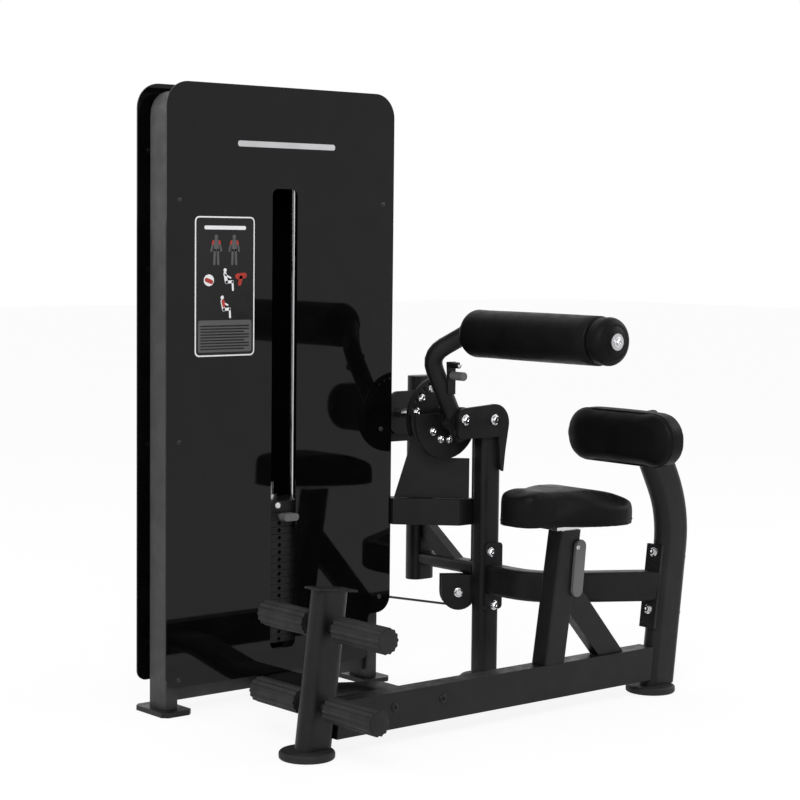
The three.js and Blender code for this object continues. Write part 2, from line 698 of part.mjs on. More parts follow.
// ---------- rear post and back pad ----------
const backPlateY = BACK_PAD_Y + BACK_PAD[1] / 2 + GAP;
const backPlateThick = 8;

function rearPost() {
  const corners = REAR_POST_PATH.map(([y, z]) => new THREE.Vector3(0, y, z));
  corners[0].z -= 20;
  corners[0].y -= 20 * rearSlope;
  const tube = sweep(ovalShape(...REAR_POST), new BentPath(corners, REAR_BEND, 8, AXIS_X), 5);
  const floor = block(-60, 60, 900, 1300, -60, FOOT_DISC_THICK + GAP);
  const face = block(-60, 60, 900, backPlateY + backPlateThick - 1, 500, 900);
  const plate = plateAcrossY(roundBoxShape(150, 96, 14), backPlateY + backPlateThick, backPlateThick, 3);
  return join(cut(tube, floor, face), plate.translate(0, 0, BACK_PAD_Z));
}

function backPad() {
  const outline = roundBoxShape(BACK_PAD[0] - 12, BACK_PAD[2] - 12, BACK_PAD[2] / 2 - 8);
  const bevel = { bevelThickness: 6, bevelSize: 6, bevelSegments: 2 };
  const pad = new THREE.ExtrudeGeometry(outline, { depth: BACK_PAD[1] - 12, curveSegments: 6, ...bevel });
  pad.rotateX(Math.PI / 2);
  return pad.translate(0, BACK_PAD_Y + BACK_PAD[1] / 2 - 6, BACK_PAD_Z);
}

add('rear_foot', footDisc(0, REAR_FOOT_Y), rubber);
add('rear_post', rearPost(), frameCoat);
add('back_pad', backPad(), leather);

// ---------- beams between the rail, tower and posts ----------
function lowBeam() {
  const z = { tower: 44, rail: 79 };
  const flangeX = -RAIL_WIDTH / 2 - GAP - FLANGE_THICK;
  const middle = TOWER_MID_Y - 1.5;
  const corners = [
    new THREE.Vector3(TOWER_X + BASE_BAR_WIDTH / 2 + GAP, middle, z.tower),
    new THREE.Vector3(-330, middle, z.tower),
    new THREE.Vector3(-150, middle, z.rail),
    new THREE.Vector3(flangeX + 1, middle, z.rail),
  ];
  const beam = sweep(ovalShape(100, 44), new BentPath(corners, 160, 4, AXIS_Y), 5);
  const flange = plateAcrossX(roundBoxShape(200, 66, 10), flangeX, FLANGE_THICK, 2);
  return join(beam, flange.translate(0, middle, z.rail));
}

function arcBeam() {
  const flangeX = UPRIGHT_X + UPRIGHT[0] / 2 + GAP;
  const corners = [
    new THREE.Vector3(flangeX + FLANGE_THICK - 1, UPRIGHT_Y, ARC_BEAM_Z),
    new THREE.Vector3(-160, UPRIGHT_Y, ARC_BEAM_Z),
    new THREE.Vector3(6, 1111, ARC_BEAM_Z),
  ];
  const section = roundBoxShape(ARC_BEAM[1], ARC_BEAM[0], 10);
  const beam = sweep(section, new BentPath(corners, 140, 6, AXIS_Z), 2);
  const sideFlange = plateAcrossX(roundBoxShape(58, 172, 10), flangeX, FLANGE_THICK, 2);
  sideFlange.translate(0, UPRIGHT_Y, ARC_BEAM_Z + 8);
  const z = [ARC_BEAM_Z - 106, ARC_BEAM_Z + 104];
  const face = z.map((height) => rearPostFront(height) - GAP);
  const behind = polygon([[face[0], z[0]], [1400, z[0]], [1400, z[1]], [face[1], z[1]]]);
  const ahead = polygon([[face[0] - FLANGE_THICK, z[0]], [face[0], z[0]], [face[1], z[1]],
    [face[1] - FLANGE_THICK, z[1]]]);
  const trimmed = cut(beam, plateAcrossX(behind, -200, 400));
  return join(trimmed, sideFlange, plateAcrossX(ahead, -25, 50));
}

function crossbarPlan() {
  const half = CROSSBAR_THICK / Math.SQRT2;
  const start = legHigh + GAP;
  const end = UPRIGHT_X - UPRIGHT[0] / 2 - GAP;
  return polygon([
    [start - CROSSBAR_LINE - half, start], [start - CROSSBAR_LINE + half, start],
    [end, end + CROSSBAR_LINE - half], [end, end + CROSSBAR_LINE + half],
  ]);
}

// the bar's corner is cut back round the front panel's edge
function crossbar() {
  const bar = slab(crossbarPlan(), CROSSBAR_TOP - CROSSBAR_BOTTOM).translate(0, 0, CROSSBAR_BOTTOM);
  const panelEdge = block(frontPanelBack - GAP, frontPanelBack + 60, 500, panelHigh + GAP,
    CROSSBAR_BOTTOM - 1, CROSSBAR_TOP + 1);
  return cut(bar, panelEdge);
}

// an upright sheet along the crossbar's centre line, cut low where the cam turns through it
function guardPlate() {
  const thick = 4;
  const left = -504;
  const shoulder = -466; // where the slanted edge ends, short of the pivot shaft
  const right = UPRIGHT_X - UPRIGHT[0] / 2 - 2;
  const low = CROSSBAR_TOP + GAP;
  const outline = polygon([[left, low], [right, low], [right, 580], [-402, 580], [-402, 655], [shoulder, 655]]
    .map(([x, z]) => [(x - left) * Math.SQRT2, z]));
  const sheet = plateAcrossY(outline, thick / 2, thick);
  return sheet.rotateZ(Math.PI / 4).translate(left, left + CROSSBAR_LINE, 0);
}

function column() {
  const tube = slab(ovalShape(...COLUMN), COLUMN_TOP - COLUMN_BOTTOM, 6);
  tube.translate(COLUMN_X, UPRIGHT_Y, COLUMN_BOTTOM);
  const link = block(COLUMN_X - 17, COLUMN_X + 24, legHigh + GAP, UPRIGHT_Y - 20, 610, 686);
  return join(tube, link);
}

function lowTube() {
  const x0 = COLUMN_X + COLUMN[0] / 2 + GAP;
  const x1 = UPRIGHT_X - UPRIGHT[0] / 2 - GAP;
  const height = LOW_TUBE[1] - LOW_TUBE[0];
  const section = roundBoxShape(50, height, 12);
  const tube = plateAcrossX(section, x0, x1 - x0, 3).translate(0, UPRIGHT_Y, (LOW_TUBE[0] + LOW_TUBE[1]) / 2);
  const top = LOW_TUBE[1] - 1;
  const brace = plateAcrossY(polygon([[x0, 350], [x0 + 60, top], [x0 + 135, top], [x0, 404]]),
    UPRIGHT_Y + 15, 30);
  return cut(join(tube, brace), rodAlongZ(8, 200, 350, drop.x, drop.y, 12));
}

add('low_beam', lowBeam(), frameCoat);
add('arc_beam', arcBeam(), frameCoat);
add('crossbar', crossbar(), frameCoat);
add('guard_plate', guardPlate(), frameCoat);
add('column', column(), frameCoat);
add('low_tube', lowTube(), frameCoat);

// ---------- upright, head plates and shaft ----------
const headPlateX = UPRIGHT_X + UPRIGHT[0] / 2 + GAP;
const headPlateThick = 10;
const columnPlateX = COLUMN_X + COLUMN[0] / 2 + GAP;

function upright() {
  const bottom = FOOT_DISC_THICK + GAP;
  const tube = slab(roundBoxShape(...UPRIGHT, 16), UPRIGHT_TOP - bottom, 3);
  return tube.translate(UPRIGHT_X, UPRIGHT_Y, bottom);
}

function headPlate() {
  const shape = new THREE.Shape();
  const lobe = { y: 831, z: 672, r: 50 };
  shape.moveTo(853, 556);
  shape.lineTo(863, 548);
  shape.lineTo(869, 600);
  shape.absarc(lobe.y, lobe.z, lobe.r, -0.2, Math.PI / 2 + 0.2, false);
  shape.lineTo(PIVOT_Y + 8, PIVOT_Z + 30);
  shape.absarc(PIVOT_Y, PIVOT_Z + 6, 24, Math.PI / 2, Math.PI, false);
  shape.absarc(PIVOT_Y - 10, 652, 14, Math.PI, 1.5 * Math.PI, false);
  shape.lineTo(846, 638);
  return plateAcrossX(shape, headPlateX, headPlateThick, 6);
}

function columnPlate() {
  const outline = roundBoxShape(190, 112, 30);
  return plateAcrossX(outline, columnPlateX, headPlateThick, 4).translate(0, 795, PIVOT_Z);
}

add('upright_foot', footDisc(UPRIGHT_X, UPRIGHT_Y), rubber);
add('upright', upright(), frameCoat);
add('upright_head_plate', headPlate(), frameCoat);
add('column_head_plate', columnPlate(), frameCoat);
add('pivot_shaft', rodAlongX(SHAFT_RADIUS, columnPlateX + headPlateThick + GAP, headPlateX - GAP, PIVOT_Y,
  PIVOT_Z, 24), steel);

// ---------- cam, arm and roller ----------
function cam() {
  const bore = SHAFT_RADIUS + RUNNING_CLEARANCE;
  const floor = camRadius - CABLE_RADIUS - GAP;
  const rim = camRadius + 4;
  const half = 9;
  const hub = { low: INDEX_PLATE_X - 6 - drop.x, high: 13, radius: 27 };
  const wheel = turnedAboutX([
    [bore, hub.low], [hub.radius, hub.low], [hub.radius, -half], [rim, -half], [rim, -half + 2],
    [floor, -CABLE_RADIUS - 0.5], [floor, CABLE_RADIUS + 0.5], [rim, half - 2], [rim, half],
    [hub.radius, half], [hub.radius, hub.high], [bore, hub.high], [bore, hub.low],
  ], 40);
  // only the lower half of the wheel carries the cable, so the upper half is left out round the hub
  const opening = cut(block(-half - 1, half + 1, -rim - 1, rim + 1, 12, rim + 1),
    rodAlongX(hub.radius, -half - 2, half + 2, 0, 0, 40));
  return join(cut(wheel, opening).translate(drop.x, PIVOT_Y, PIVOT_Z), indexPlate());
}

// a toothless quadrant with a row of holes for the start position
function indexPlate() {
  const from = THREE.MathUtils.degToRad(95);
  const to = THREE.MathUtils.degToRad(205);
  const sector = new THREE.Shape();
  sector.absarc(0, 0, INDEX_RADIUS, from, to, false);
  sector.absarc(0, 0, 22, to, from + 2 * Math.PI, false);
  const plate = plateAcrossX(sector, INDEX_PLATE_X - 4, 8, 10);
  const holes = [rodAlongX(16, INDEX_PLATE_X - 20, INDEX_PLATE_X + 20, 0, 0, 24)];
  for (let i = 0; i < 9; i += 1) {
    const angle = from + 0.12 + i * 0.21;
    const reach = INDEX_RADIUS - 14;
    holes.push(rodAlongX(5, INDEX_PLATE_X - 20, INDEX_PLATE_X + 20, reach * Math.cos(angle),
      reach * Math.sin(angle), 8));
  }
  return cut(plate, ...holes).translate(0, PIVOT_Y, PIVOT_Z);
}

const armEndX = -ROLLER_HALF - 19;

function arm() {
  const corners = [
    new THREE.Vector3(ARM_X, 749, 637),
    new THREE.Vector3(ARM_X, 637, 850),
    new THREE.Vector3(armEndX, ROLLER_Y, ROLLER_Z),
  ];
  const tube = sweep(ovalShape(2 * ARM_RADIUS, 2 * ARM_RADIUS), new BentPath(corners, 55, 5, null), 6);
  const hubHalf = 24;
  const hub = rodAlongX(ARM_HUB_RADIUS, ARM_X - hubHalf, ARM_X + hubHalf - 1, PIVOT_Y, PIVOT_Z, 24);
  const bore = rodAlongX(SHAFT_RADIUS + RUNNING_CLEARANCE, ARM_X - 60, ARM_X + 60, PIVOT_Y, PIVOT_Z, 24);
  const boss = rodAlongX(22, armEndX - 14, -ROLLER_HALF - 5, ROLLER_Y, ROLLER_Z, 16);
  return cut(join(tube, hub, boss), bore);
}

function rollerPad() {
  const r = ROLLER_RADIUS;
  const end = ROLLER_HALF;
  const bore = ROLLER_AXLE + RUNNING_CLEARANCE;
  return turnedAboutX([
    [bore, -end], [r - 17, -end], [r - 5, -end + 6], [r, -end + 20], [r, end - 20], [r - 5, end - 6],
    [r - 17, end], [bore, end], [bore, -end],
  ], 32).translate(0, ROLLER_Y, ROLLER_Z);
}

function rollerAxle() {
  const start = -ROLLER_HALF - 5 + GAP;
  const rod = rodAlongX(ROLLER_AXLE, start, ROLLER_HALF + 4, ROLLER_Y, ROLLER_Z, 24);
  const washer = rodAlongX(20, ROLLER_HALF + GAP, ROLLER_HALF + 6, ROLLER_Y, ROLLER_Z, 16);
  return join(rod, washer);
}

const leverX = ARM_X + ARM_RADIUS + GAP;

function startLever() {
  const bar = plateAcrossX(polygon([[678, 752], [702, 752], [702, 834], [674, 834]]), leverX, 5);
  const knob = rodAlongX(8, leverX + 4, leverX + 34, 688, 826, 12);
  return join(bar, knob);
}

add('cam', cam(), frameCoat);
add('arm', arm(), frameCoat);
add('roller_axle', rollerAxle(), steel);
add('roller_pad', rollerPad(), leather);
add('start_lever', startLever(), frameCoat);
add('start_grip', rodAlongX(11, leverX + 5 + GAP, leverX + 50, 690, 799, 16), greyPlastic);

// ---------- seat ----------
function seatPost() {
  const bottom = RAIL_TOP + GAP;
  const blank = slab(roundBoxShape(...SEAT_POST, 5), SEAT_POST_TOP - bottom, 1).translate(0, 0, bottom);
  lean(blank, SEAT_POST_SLOPE).translate(0, SEAT_POST_Y - SEAT_POST_SLOPE * bottom, 0);
  const socketShape = roundBoxShape(SEAT_STEM[0] + 2 * GAP, SEAT_STEM[1] + 2 * GAP, 3);
  const socket = slab(socketShape, 400, 1).translate(0, 0, 215);
  lean(socket, SEAT_POST_SLOPE).translate(0, SEAT_POST_Y - SEAT_POST_SLOPE * bottom, 0);
  const brace = plateAcrossX(polygon([[895, bottom], [980, bottom], [792, 336], [778, 250]]), -15, 30);
  return cut(join(blank, brace), socket);
}

function seatStem() {
  const bottom = RAIL_TOP + GAP;
  const stem = slab(roundBoxShape(...SEAT_STEM, 3), SEAT_BASE_Z + 2 - 235, 1).translate(0, 0, 235);
  lean(stem, SEAT_POST_SLOPE).translate(0, SEAT_POST_Y - SEAT_POST_SLOPE * bottom, 0);
  return join(stem, block(-70, 70, 690, 860, SEAT_BASE_Z, SEAT_BASE_Z + 8));
}

function seatPad() {
  const widest = SEAT_REAR_Y - 91;
  const flare = widest - 115;
  const plan = new THREE.Shape();
  plan.moveTo(0, SEAT_NOSE_Y);
  plan.quadraticCurveTo(SEAT_NOSE_HALF, SEAT_NOSE_Y, SEAT_NOSE_HALF + 4, SEAT_NOSE_Y + 40);
  plan.bezierCurveTo(SEAT_NOSE_HALF + 14, flare, SEAT_HALF_WIDTH, flare + 20, SEAT_HALF_WIDTH, widest);
  plan.quadraticCurveTo(SEAT_HALF_WIDTH, SEAT_REAR_Y, 0, SEAT_REAR_Y);
  plan.quadraticCurveTo(-SEAT_HALF_WIDTH, SEAT_REAR_Y, -SEAT_HALF_WIDTH, widest);
  plan.bezierCurveTo(-SEAT_HALF_WIDTH, flare + 20, -SEAT_NOSE_HALF - 14, flare, -SEAT_NOSE_HALF - 4,
    SEAT_NOSE_Y + 40);
  plan.quadraticCurveTo(-SEAT_NOSE_HALF, SEAT_NOSE_Y, 0, SEAT_NOSE_Y);
  const low = SEAT_BASE_Z + 8 + GAP;
  const side = new THREE.Shape();
  side.moveTo(SEAT_NOSE_Y - 5, low);
  side.lineTo(SEAT_REAR_Y + 5, low);
  side.lineTo(SEAT_REAR_Y + 5, low + 34);
  side.quadraticCurveTo(widest + 35, low + 80, widest - 75, low + 80);
  side.quadraticCurveTo(SEAT_NOSE_Y + 87, low + 76, SEAT_NOSE_Y + 47, low + 84);
  side.quadraticCurveTo(SEAT_NOSE_Y, low + 88, SEAT_NOSE_Y - 5, low + 50);
  const raised = slab(plan, 120, 6).translate(0, 0, low);
  const crown = new THREE.Shape();
  crown.moveTo(-SEAT_HALF_WIDTH - 5, low);
  crown.lineTo(SEAT_HALF_WIDTH + 5, low);
  crown.lineTo(SEAT_HALF_WIDTH + 5, low + SEAT_EDGE_HEIGHT);
  crown.quadraticCurveTo(0.7 * SEAT_HALF_WIDTH, low + SEAT_HEIGHT, 0, low + SEAT_HEIGHT);
  crown.quadraticCurveTo(-0.7 * SEAT_HALF_WIDTH, low + SEAT_HEIGHT, -SEAT_HALF_WIDTH - 5,
    low + SEAT_EDGE_HEIGHT);
  const saddle = overlap(raised, plateAcrossX(side, -200, 400, 5));
  return overlap(saddle, plateAcrossY(crown, SEAT_REAR_Y + 20, SEAT_REAR_Y - SEAT_NOSE_Y + 40, 5));
}

add('seat_post', seatPost(), frameCoat);
add('seat_stem', seatStem(), chrome);
add('seat_pad', seatPad(), leather);
add('seat_lever', plateAcrossX(ovalShape(34, 140), SEAT_POST[0] / 2 + GAP, 8, 6)
  .rotateX(-0.09).translate(0, 804, 347), greyPlastic);

// the origin is on the floor, under the middle of the machine
machine.updateMatrixWorld(true);
const bounds = new THREE.Box3().setFromObject(machine, true);
const centre = bounds.getCenter(new THREE.Vector3());
machine.position.set(-centre.x, -centre.y, -bounds.min.z);

export default machine;
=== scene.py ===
"""Looks for the seated trunk machine, built round the CAD frame.

Materials come first, then the CAD nodes, the pads, the fasteners, the placard and the stage.
"""

import json
import math

import bmesh
import bpy
from mathutils import Matrix, Vector
from mathutils.bvhtree import BVHTree


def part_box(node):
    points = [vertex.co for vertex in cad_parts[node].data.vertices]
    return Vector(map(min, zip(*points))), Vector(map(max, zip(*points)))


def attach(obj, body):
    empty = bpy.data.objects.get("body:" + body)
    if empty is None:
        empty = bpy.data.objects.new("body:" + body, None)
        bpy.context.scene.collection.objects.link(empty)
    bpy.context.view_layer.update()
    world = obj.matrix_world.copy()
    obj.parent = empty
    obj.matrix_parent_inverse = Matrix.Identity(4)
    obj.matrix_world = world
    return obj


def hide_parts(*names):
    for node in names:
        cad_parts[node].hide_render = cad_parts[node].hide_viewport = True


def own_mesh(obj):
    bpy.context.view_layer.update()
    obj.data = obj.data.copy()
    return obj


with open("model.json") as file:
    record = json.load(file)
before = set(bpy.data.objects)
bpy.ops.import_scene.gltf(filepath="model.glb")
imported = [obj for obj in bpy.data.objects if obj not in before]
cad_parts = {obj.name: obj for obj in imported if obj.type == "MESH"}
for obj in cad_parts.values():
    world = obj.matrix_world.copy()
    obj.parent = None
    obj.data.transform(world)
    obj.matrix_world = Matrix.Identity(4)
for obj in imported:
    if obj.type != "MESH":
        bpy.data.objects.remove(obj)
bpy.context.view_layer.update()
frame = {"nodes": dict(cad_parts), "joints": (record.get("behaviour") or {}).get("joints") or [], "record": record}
NODES = frame["nodes"]
JOINTS = {joint["name"]: joint for joint in frame["joints"]}
X, Z = Vector((1, 0, 0)), Vector((0, 0, 1))

# camera, in the row frame
CAMERA_POSITION = Vector((3.685, -3.272, 1.1393))
CAMERA_AZIMUTH = 49.814
CAMERA_PITCH = 4.519
CAMERA_ROLL = 0.606
CAMERA_LENS = 91.96
SENSOR_WIDTH = 36

# edges of the CAD solids
EDGE_ROUND = 0.0012
SMOOTH_ANGLE = 34
WELD_DISTANCE = 1e-5
FLAT_FACE_WEIGHT = 80

# materials: the middle share of a noise texture's values
NOISE_LOW = 0.35
NOISE_HIGH = 0.65
COLOUR_DRIFT_SCALE = 14
ROUGHNESS_DRIFT_SCALE = 38
CREASE_SHARE = 1.6
BUMP_DISTANCE = 0.001

# pads
VOXEL = 0.0055
PRESSURE = 4.0
SWELL_LIMIT = 0.005
SWELL_STEPS = 20
LAST_SMOOTHING = 10
SEAM_RADIUS = 0.0016
BACK_HELD_DEPTH = 0.006
BACK_SEAM_DEPTH = 0.014
BACK_SEAM_INSET = 0.002
SEAT_HELD_DEPTH = 0.004
SEAT_SEAM_HEIGHT = 0.012
OUTSIDE_SEAT = 0.6

# roller
ROLL_EDGE = 0.022
ROLL_CAP_LENGTH = 0.052
ROLL_BULGE = 0.0006
ROLL_EDGE_STEPS = 8
ROLL_BODY_STEPS = 13

# fasteners
BOLT_RADIUS = 0.009
HEAD_BOLT_RADIUS = 0.010
CAM_BOLT_RADIUS = 0.008
SCREW_RADIUS = 0.006
RAIL_SCREW_RADIUS = 0.011
SCREW_INSET = 0.0175
LOWEST_SCREW_FRONT = 0.019
LOWEST_SCREW_REAR = 0.155
UPPER_SCREW_HEIGHTS = (0.655, 1.224)
FLANGE_BOLTS = ((-0.012, 0.072), (0.002, -0.066))
REAR_BOLT_HEIGHTS = (0.354, 0.207)
REAR_POST_LEAN = 10
RAIL_SCREW_REACHES = (0.230, 0.375)
RAIL_SCREW_HEIGHT = 0.050
RIM_BOLT_REACH = 0.078
RIM_BOLT_TURNS = (112, 140, 168)
HUB_BOLT_REACH = 0.055
HUB_BOLT_TURNS = (250, 280, 215)

# weight stack
PITCH = 0.018
HOLE_HEIGHT = 0.0087

# placard and badge strip, in y and z on the front panel
SHEET = 0.0004
CARD_LEFT = 0.079
CARD_RIGHT = 0.252
CARD_BOTTOM = 0.855
CARD_TOP = 1.187
CARD_BORDER = 0.0035
FIGURE_OFFSETS = (-0.026, 0.026)
STANDING_SIZE = 0.072
SEATED_SIZE = 0.058
NOTICE_BARS = 9
NOTICE_BAR_PITCH = 0.0068
NOTICE_BAR_HEIGHT = 0.0032
STRIP_LEFT = 0.202
STRIP_RIGHT = 0.496
STRIP_DROP = 0.146
STRIP_HEIGHT = 0.014

# floor and background
FLOOR_SIZE = 25
FLOOR_DROP = 0.0006
FLOOR_WHITE = 1.02
FLOOR_WHITE_SHARE = 0.86
AMBIENT = 0.7


# ---------- materials ----------
def node_of(tree, kind, **values):
    made = tree.nodes.new(kind)
    for key, value in values.items():
        setattr(made, key, value)
    return made


def noise(tree, scale, detail=4.0, stretch=None):
    """A noise texture in the row frame, drawn out along an axis if stretch is given."""
    coords = node_of(tree, "ShaderNodeTexCoord")
    texture = node_of(tree, "ShaderNodeTexNoise")
    texture.inputs["Scale"].default_value = scale
    texture.inputs["Detail"].default_value = detail
    source = coords.outputs["Object"]
    if stretch:
        mapping = node_of(tree, "ShaderNodeMapping")
        mapping.inputs["Scale"].default_value = stretch
        tree.links.new(source, mapping.inputs["Vector"])
        source = mapping.outputs["Vector"]
    tree.links.new(source, texture.inputs["Vector"])
    return texture.outputs["Fac"]


def spread(tree, value, low, high):
    """Turns the middle share of a noise texture's values into the range from low to high."""
    remap = node_of(tree, "ShaderNodeMapRange")
    remap.inputs["From Min"].default_value = NOISE_LOW
    remap.inputs["From Max"].default_value = NOISE_HIGH
    remap.inputs["To Min"].default_value = low
    remap.inputs["To Max"].default_value = high
    tree.links.new(value, remap.inputs["Value"])
    return remap.outputs["Result"]


def finish_material(
    name,
    color,
    rough,
    metal=0.0,
    specular=0.5,
    vary=0.25,
    rough_vary=0.06,
    grain=900,
    depth=0.05,
    stretch=None,
    cells=0,
):
    """A surface whose colour and roughness drift, with a fine grain.

    cells adds the creased pattern of leather.
    """
    made = bpy.data.materials.new(name)
    made.use_nodes = True
    tree = made.node_tree
    shader = tree.nodes["Principled BSDF"]
    shader.inputs["Metallic"].default_value = metal
    shader.inputs["Specular IOR Level"].default_value = specular
    mix = node_of(tree, "ShaderNodeMix", data_type="RGBA")
    mix.inputs["A"].default_value = (*[c * (1 - vary) for c in color], 1)
    mix.inputs["B"].default_value = (*[min(1, c * (1 + vary)) for c in color], 1)
    tree.links.new(spread(tree, noise(tree, COLOUR_DRIFT_SCALE), 0, 1), mix.inputs["Factor"])
    tree.links.new(mix.outputs["Result"], shader.inputs["Base Color"])
    drift = noise(tree, ROUGHNESS_DRIFT_SCALE, 6)
    roughness = spread(tree, drift, rough - rough_vary, rough + rough_vary)
    tree.links.new(roughness, shader.inputs["Roughness"])
    height = noise(tree, grain, 3, stretch)
    if cells:
        coords = node_of(tree, "ShaderNodeTexCoord")
        creases = node_of(tree, "ShaderNodeTexVoronoi", feature="DISTANCE_TO_EDGE")
        creases.inputs["Scale"].default_value = cells
        tree.links.new(coords.outputs["Object"], creases.inputs["Vector"])
        blend = node_of(tree, "ShaderNodeMath", operation="MULTIPLY_ADD")
        blend.inputs[1].default_value = CREASE_SHARE
        tree.links.new(creases.outputs["Distance"], blend.inputs[0])
        tree.links.new(height, blend.inputs[2])
        height = blend.outputs["Value"]
    bump = node_of(tree, "ShaderNodeBump")
    bump.inputs["Strength"].default_value = depth
    bump.inputs["Distance"].default_value = BUMP_DISTANCE
    tree.links.new(height, bump.inputs["Height"])
    tree.links.new(bump.outputs["Normal"], shader.inputs["Normal"])
    return made


def grey(level):
    return (level, level, level * 1.03)


MATERIALS = {
    "frame_coat": finish_material("frame_coat", grey(0.0075), 0.4, specular=0.2, depth=0.16),
    "leg_coat": finish_material("leg_coat", grey(0.026), 0.42, specular=0.32, depth=0.16),
    "gloss_panel": finish_material(
        "gloss_panel", grey(0.0022), 0.035, specular=0.22, rough_vary=0.012, grain=60, depth=0.004
    ),
    "leather": finish_material("leather", grey(0.0042), 0.4, specular=0.085, cells=520, depth=0.22),
    "rubber": finish_material("rubber", grey(0.014), 0.62, specular=0.22, grain=500, depth=0.3),
    "chrome": finish_material(
        "chrome", grey(0.62), 0.12, metal=1.0, vary=0.04, rough_vary=0.03, depth=0.01
    ),
    "steel": finish_material(
        "steel", grey(0.5), 0.3, metal=1.0, vary=0.1, stretch=(0.05, 1, 1), depth=0.06
    ),
    "plate_iron": finish_material("plate_iron", grey(0.008), 0.5, specular=0.25, grain=420, depth=0.25),
    "grey_plastic": finish_material("grey_plastic", grey(0.105), 0.5, specular=0.35, vary=0.1, depth=0.12),
    "black_plastic": finish_material("black_plastic", grey(0.011), 0.42, specular=0.4, depth=0.12),
    "cable_coat": finish_material("cable_coat", grey(0.008), 0.35, specular=0.4, grain=1500, depth=0.2),
}
WHITE_PRINT = finish_material("white_print", grey(0.72), 0.4, specular=0.3, vary=0.03, depth=0.02)
GREY_PRINT = finish_material("grey_print", grey(0.075), 0.4, specular=0.3, vary=0.05, depth=0.02)
RED_PRINT = finish_material("red_print", (0.36, 0.03, 0.02), 0.4, specular=0.3, vary=0.1, depth=0.02)
DARK_PRINT = finish_material("dark_print", grey(0.006), 0.3, specular=0.25, vary=0.1, depth=0.02)
HOLE = finish_material("hole_shadow", grey(0.0006), 0.9, specular=0.02, vary=0.1, depth=0.02)
SILVER = finish_material(
    "silver_trim", grey(0.55), 0.25, metal=1.0, vary=0.06, stretch=(1, 0.05, 1), depth=0.04
)


# ---------- CAD nodes: materials, rounded edges and smooth curves ----------
def smooth_by_angle():
    """A node group that shades an imported mesh smooth and keeps only its sharp edges sharp."""
    group = bpy.data.node_groups.new("smooth_by_angle", "GeometryNodeTree")
    group.interface.new_socket("Geometry", in_out="INPUT", socket_type="NodeSocketGeometry")
    group.interface.new_socket("Geometry", in_out="OUTPUT", socket_type="NodeSocketGeometry")
    start = group.nodes.new("NodeGroupInput")
    end = group.nodes.new("NodeGroupOutput")
    angle = group.nodes.new("GeometryNodeInputMeshEdgeAngle")
    flat = node_of(group, "FunctionNodeCompare", operation="LESS_THAN")
    flat.inputs["B"].default_value = math.radians(SMOOTH_ANGLE)
    faces = group.nodes.new("GeometryNodeSetShadeSmooth")
    edges = node_of(group, "GeometryNodeSetShadeSmooth", domain="EDGE")
    group.links.new(start.outputs[0], faces.inputs["Geometry"])
    group.links.new(faces.outputs["Geometry"], edges.inputs["Geometry"])
    group.links.new(angle.outputs["Unsigned Angle"], flat.inputs["A"])
    group.links.new(flat.outputs["Result"], edges.inputs["Shade Smooth"])
    group.links.new(edges.outputs["Geometry"], end.inputs[0])
    return group


SMOOTHING = smooth_by_angle()
SLOTS = {part["node"]: part["material_slot"] for part in frame["record"]["subparts"]}


def dress(name, cad):
    """Gives a CAD node its material, rounded edges and smooth curves."""
    cad.data.materials.clear()
    cad.data.materials.append(MATERIALS[SLOTS[name]])
    if cad.data.has_custom_normals:
        with bpy.context.temp_override(object=cad, active_object=cad, selected_objects=[cad]):
            bpy.ops.mesh.customdata_custom_splitnormals_clear()
    weld = cad.modifiers.new("weld", "WELD")
    weld.merge_threshold = WELD_DISTANCE
    bevel = cad.modifiers.new("round", "BEVEL")
    bevel.width = EDGE_ROUND
    bevel.segments = 2
    bevel.limit_method = "ANGLE"
    bevel.angle_limit = math.radians(SMOOTH_ANGLE)
    smooth = cad.modifiers.new("smooth", "NODES")
    smooth.node_group = SMOOTHING
    level = cad.modifiers.new("level", "WEIGHTED_NORMAL")
    level.keep_sharp = True
    level.weight = FLAT_FACE_WEIGHT


for node_name, cad_object in NODES.items():
    dress(node_name, cad_object)


# ---------- building pieces ----------
def publish(name, mesh_data, material, body, sharp=SMOOTH_ANGLE):
    """Makes an object of a bmesh, in the row frame, riding on a body."""
    data = bpy.data.meshes.new(name)
    bmesh.ops.recalc_face_normals(mesh_data, faces=mesh_data.faces)
    mesh_data.to_mesh(data)
    mesh_data.free()
    data.materials.append(material)
    data.shade_smooth()
    data.set_sharp_from_angle(angle=math.radians(sharp))
    made = bpy.data.objects.new(name, data)
    bpy.context.scene.collection.objects.link(made)
    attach(made, body)
    return made


def basis(axis):
    """A turn that takes +Z to axis."""
    return axis.normalized().to_track_quat("Z", "Y").to_matrix().to_4x4()


def revolve(target, profile, centre, axis, sides=28):
    """Adds a solid of revolution; profile is (radius, height) pairs that start and end on the axis."""
    place = Matrix.Translation(centre) @ basis(axis)
    rings = []
    for radius, height in profile:
        count = 1 if radius == 0 else sides
        ring = []
        for step in range(count):
            turn = 2 * math.pi * step / sides
            point = Vector((radius * math.cos(turn), radius * math.sin(turn), height))
            ring.append(target.verts.new(place @ point))
        rings.append(ring)
    for low, high in zip(rings, rings[1:]):
        for step in range(sides):
            after = (step + 1) % sides
            corners = [low[step % len(low)], low[after % len(low)]]
            corners += [high[after % len(high)], high[step % len(high)]]
            unique = list(dict.fromkeys(corners))
            if len(unique) > 2:
                target.faces.new(unique)


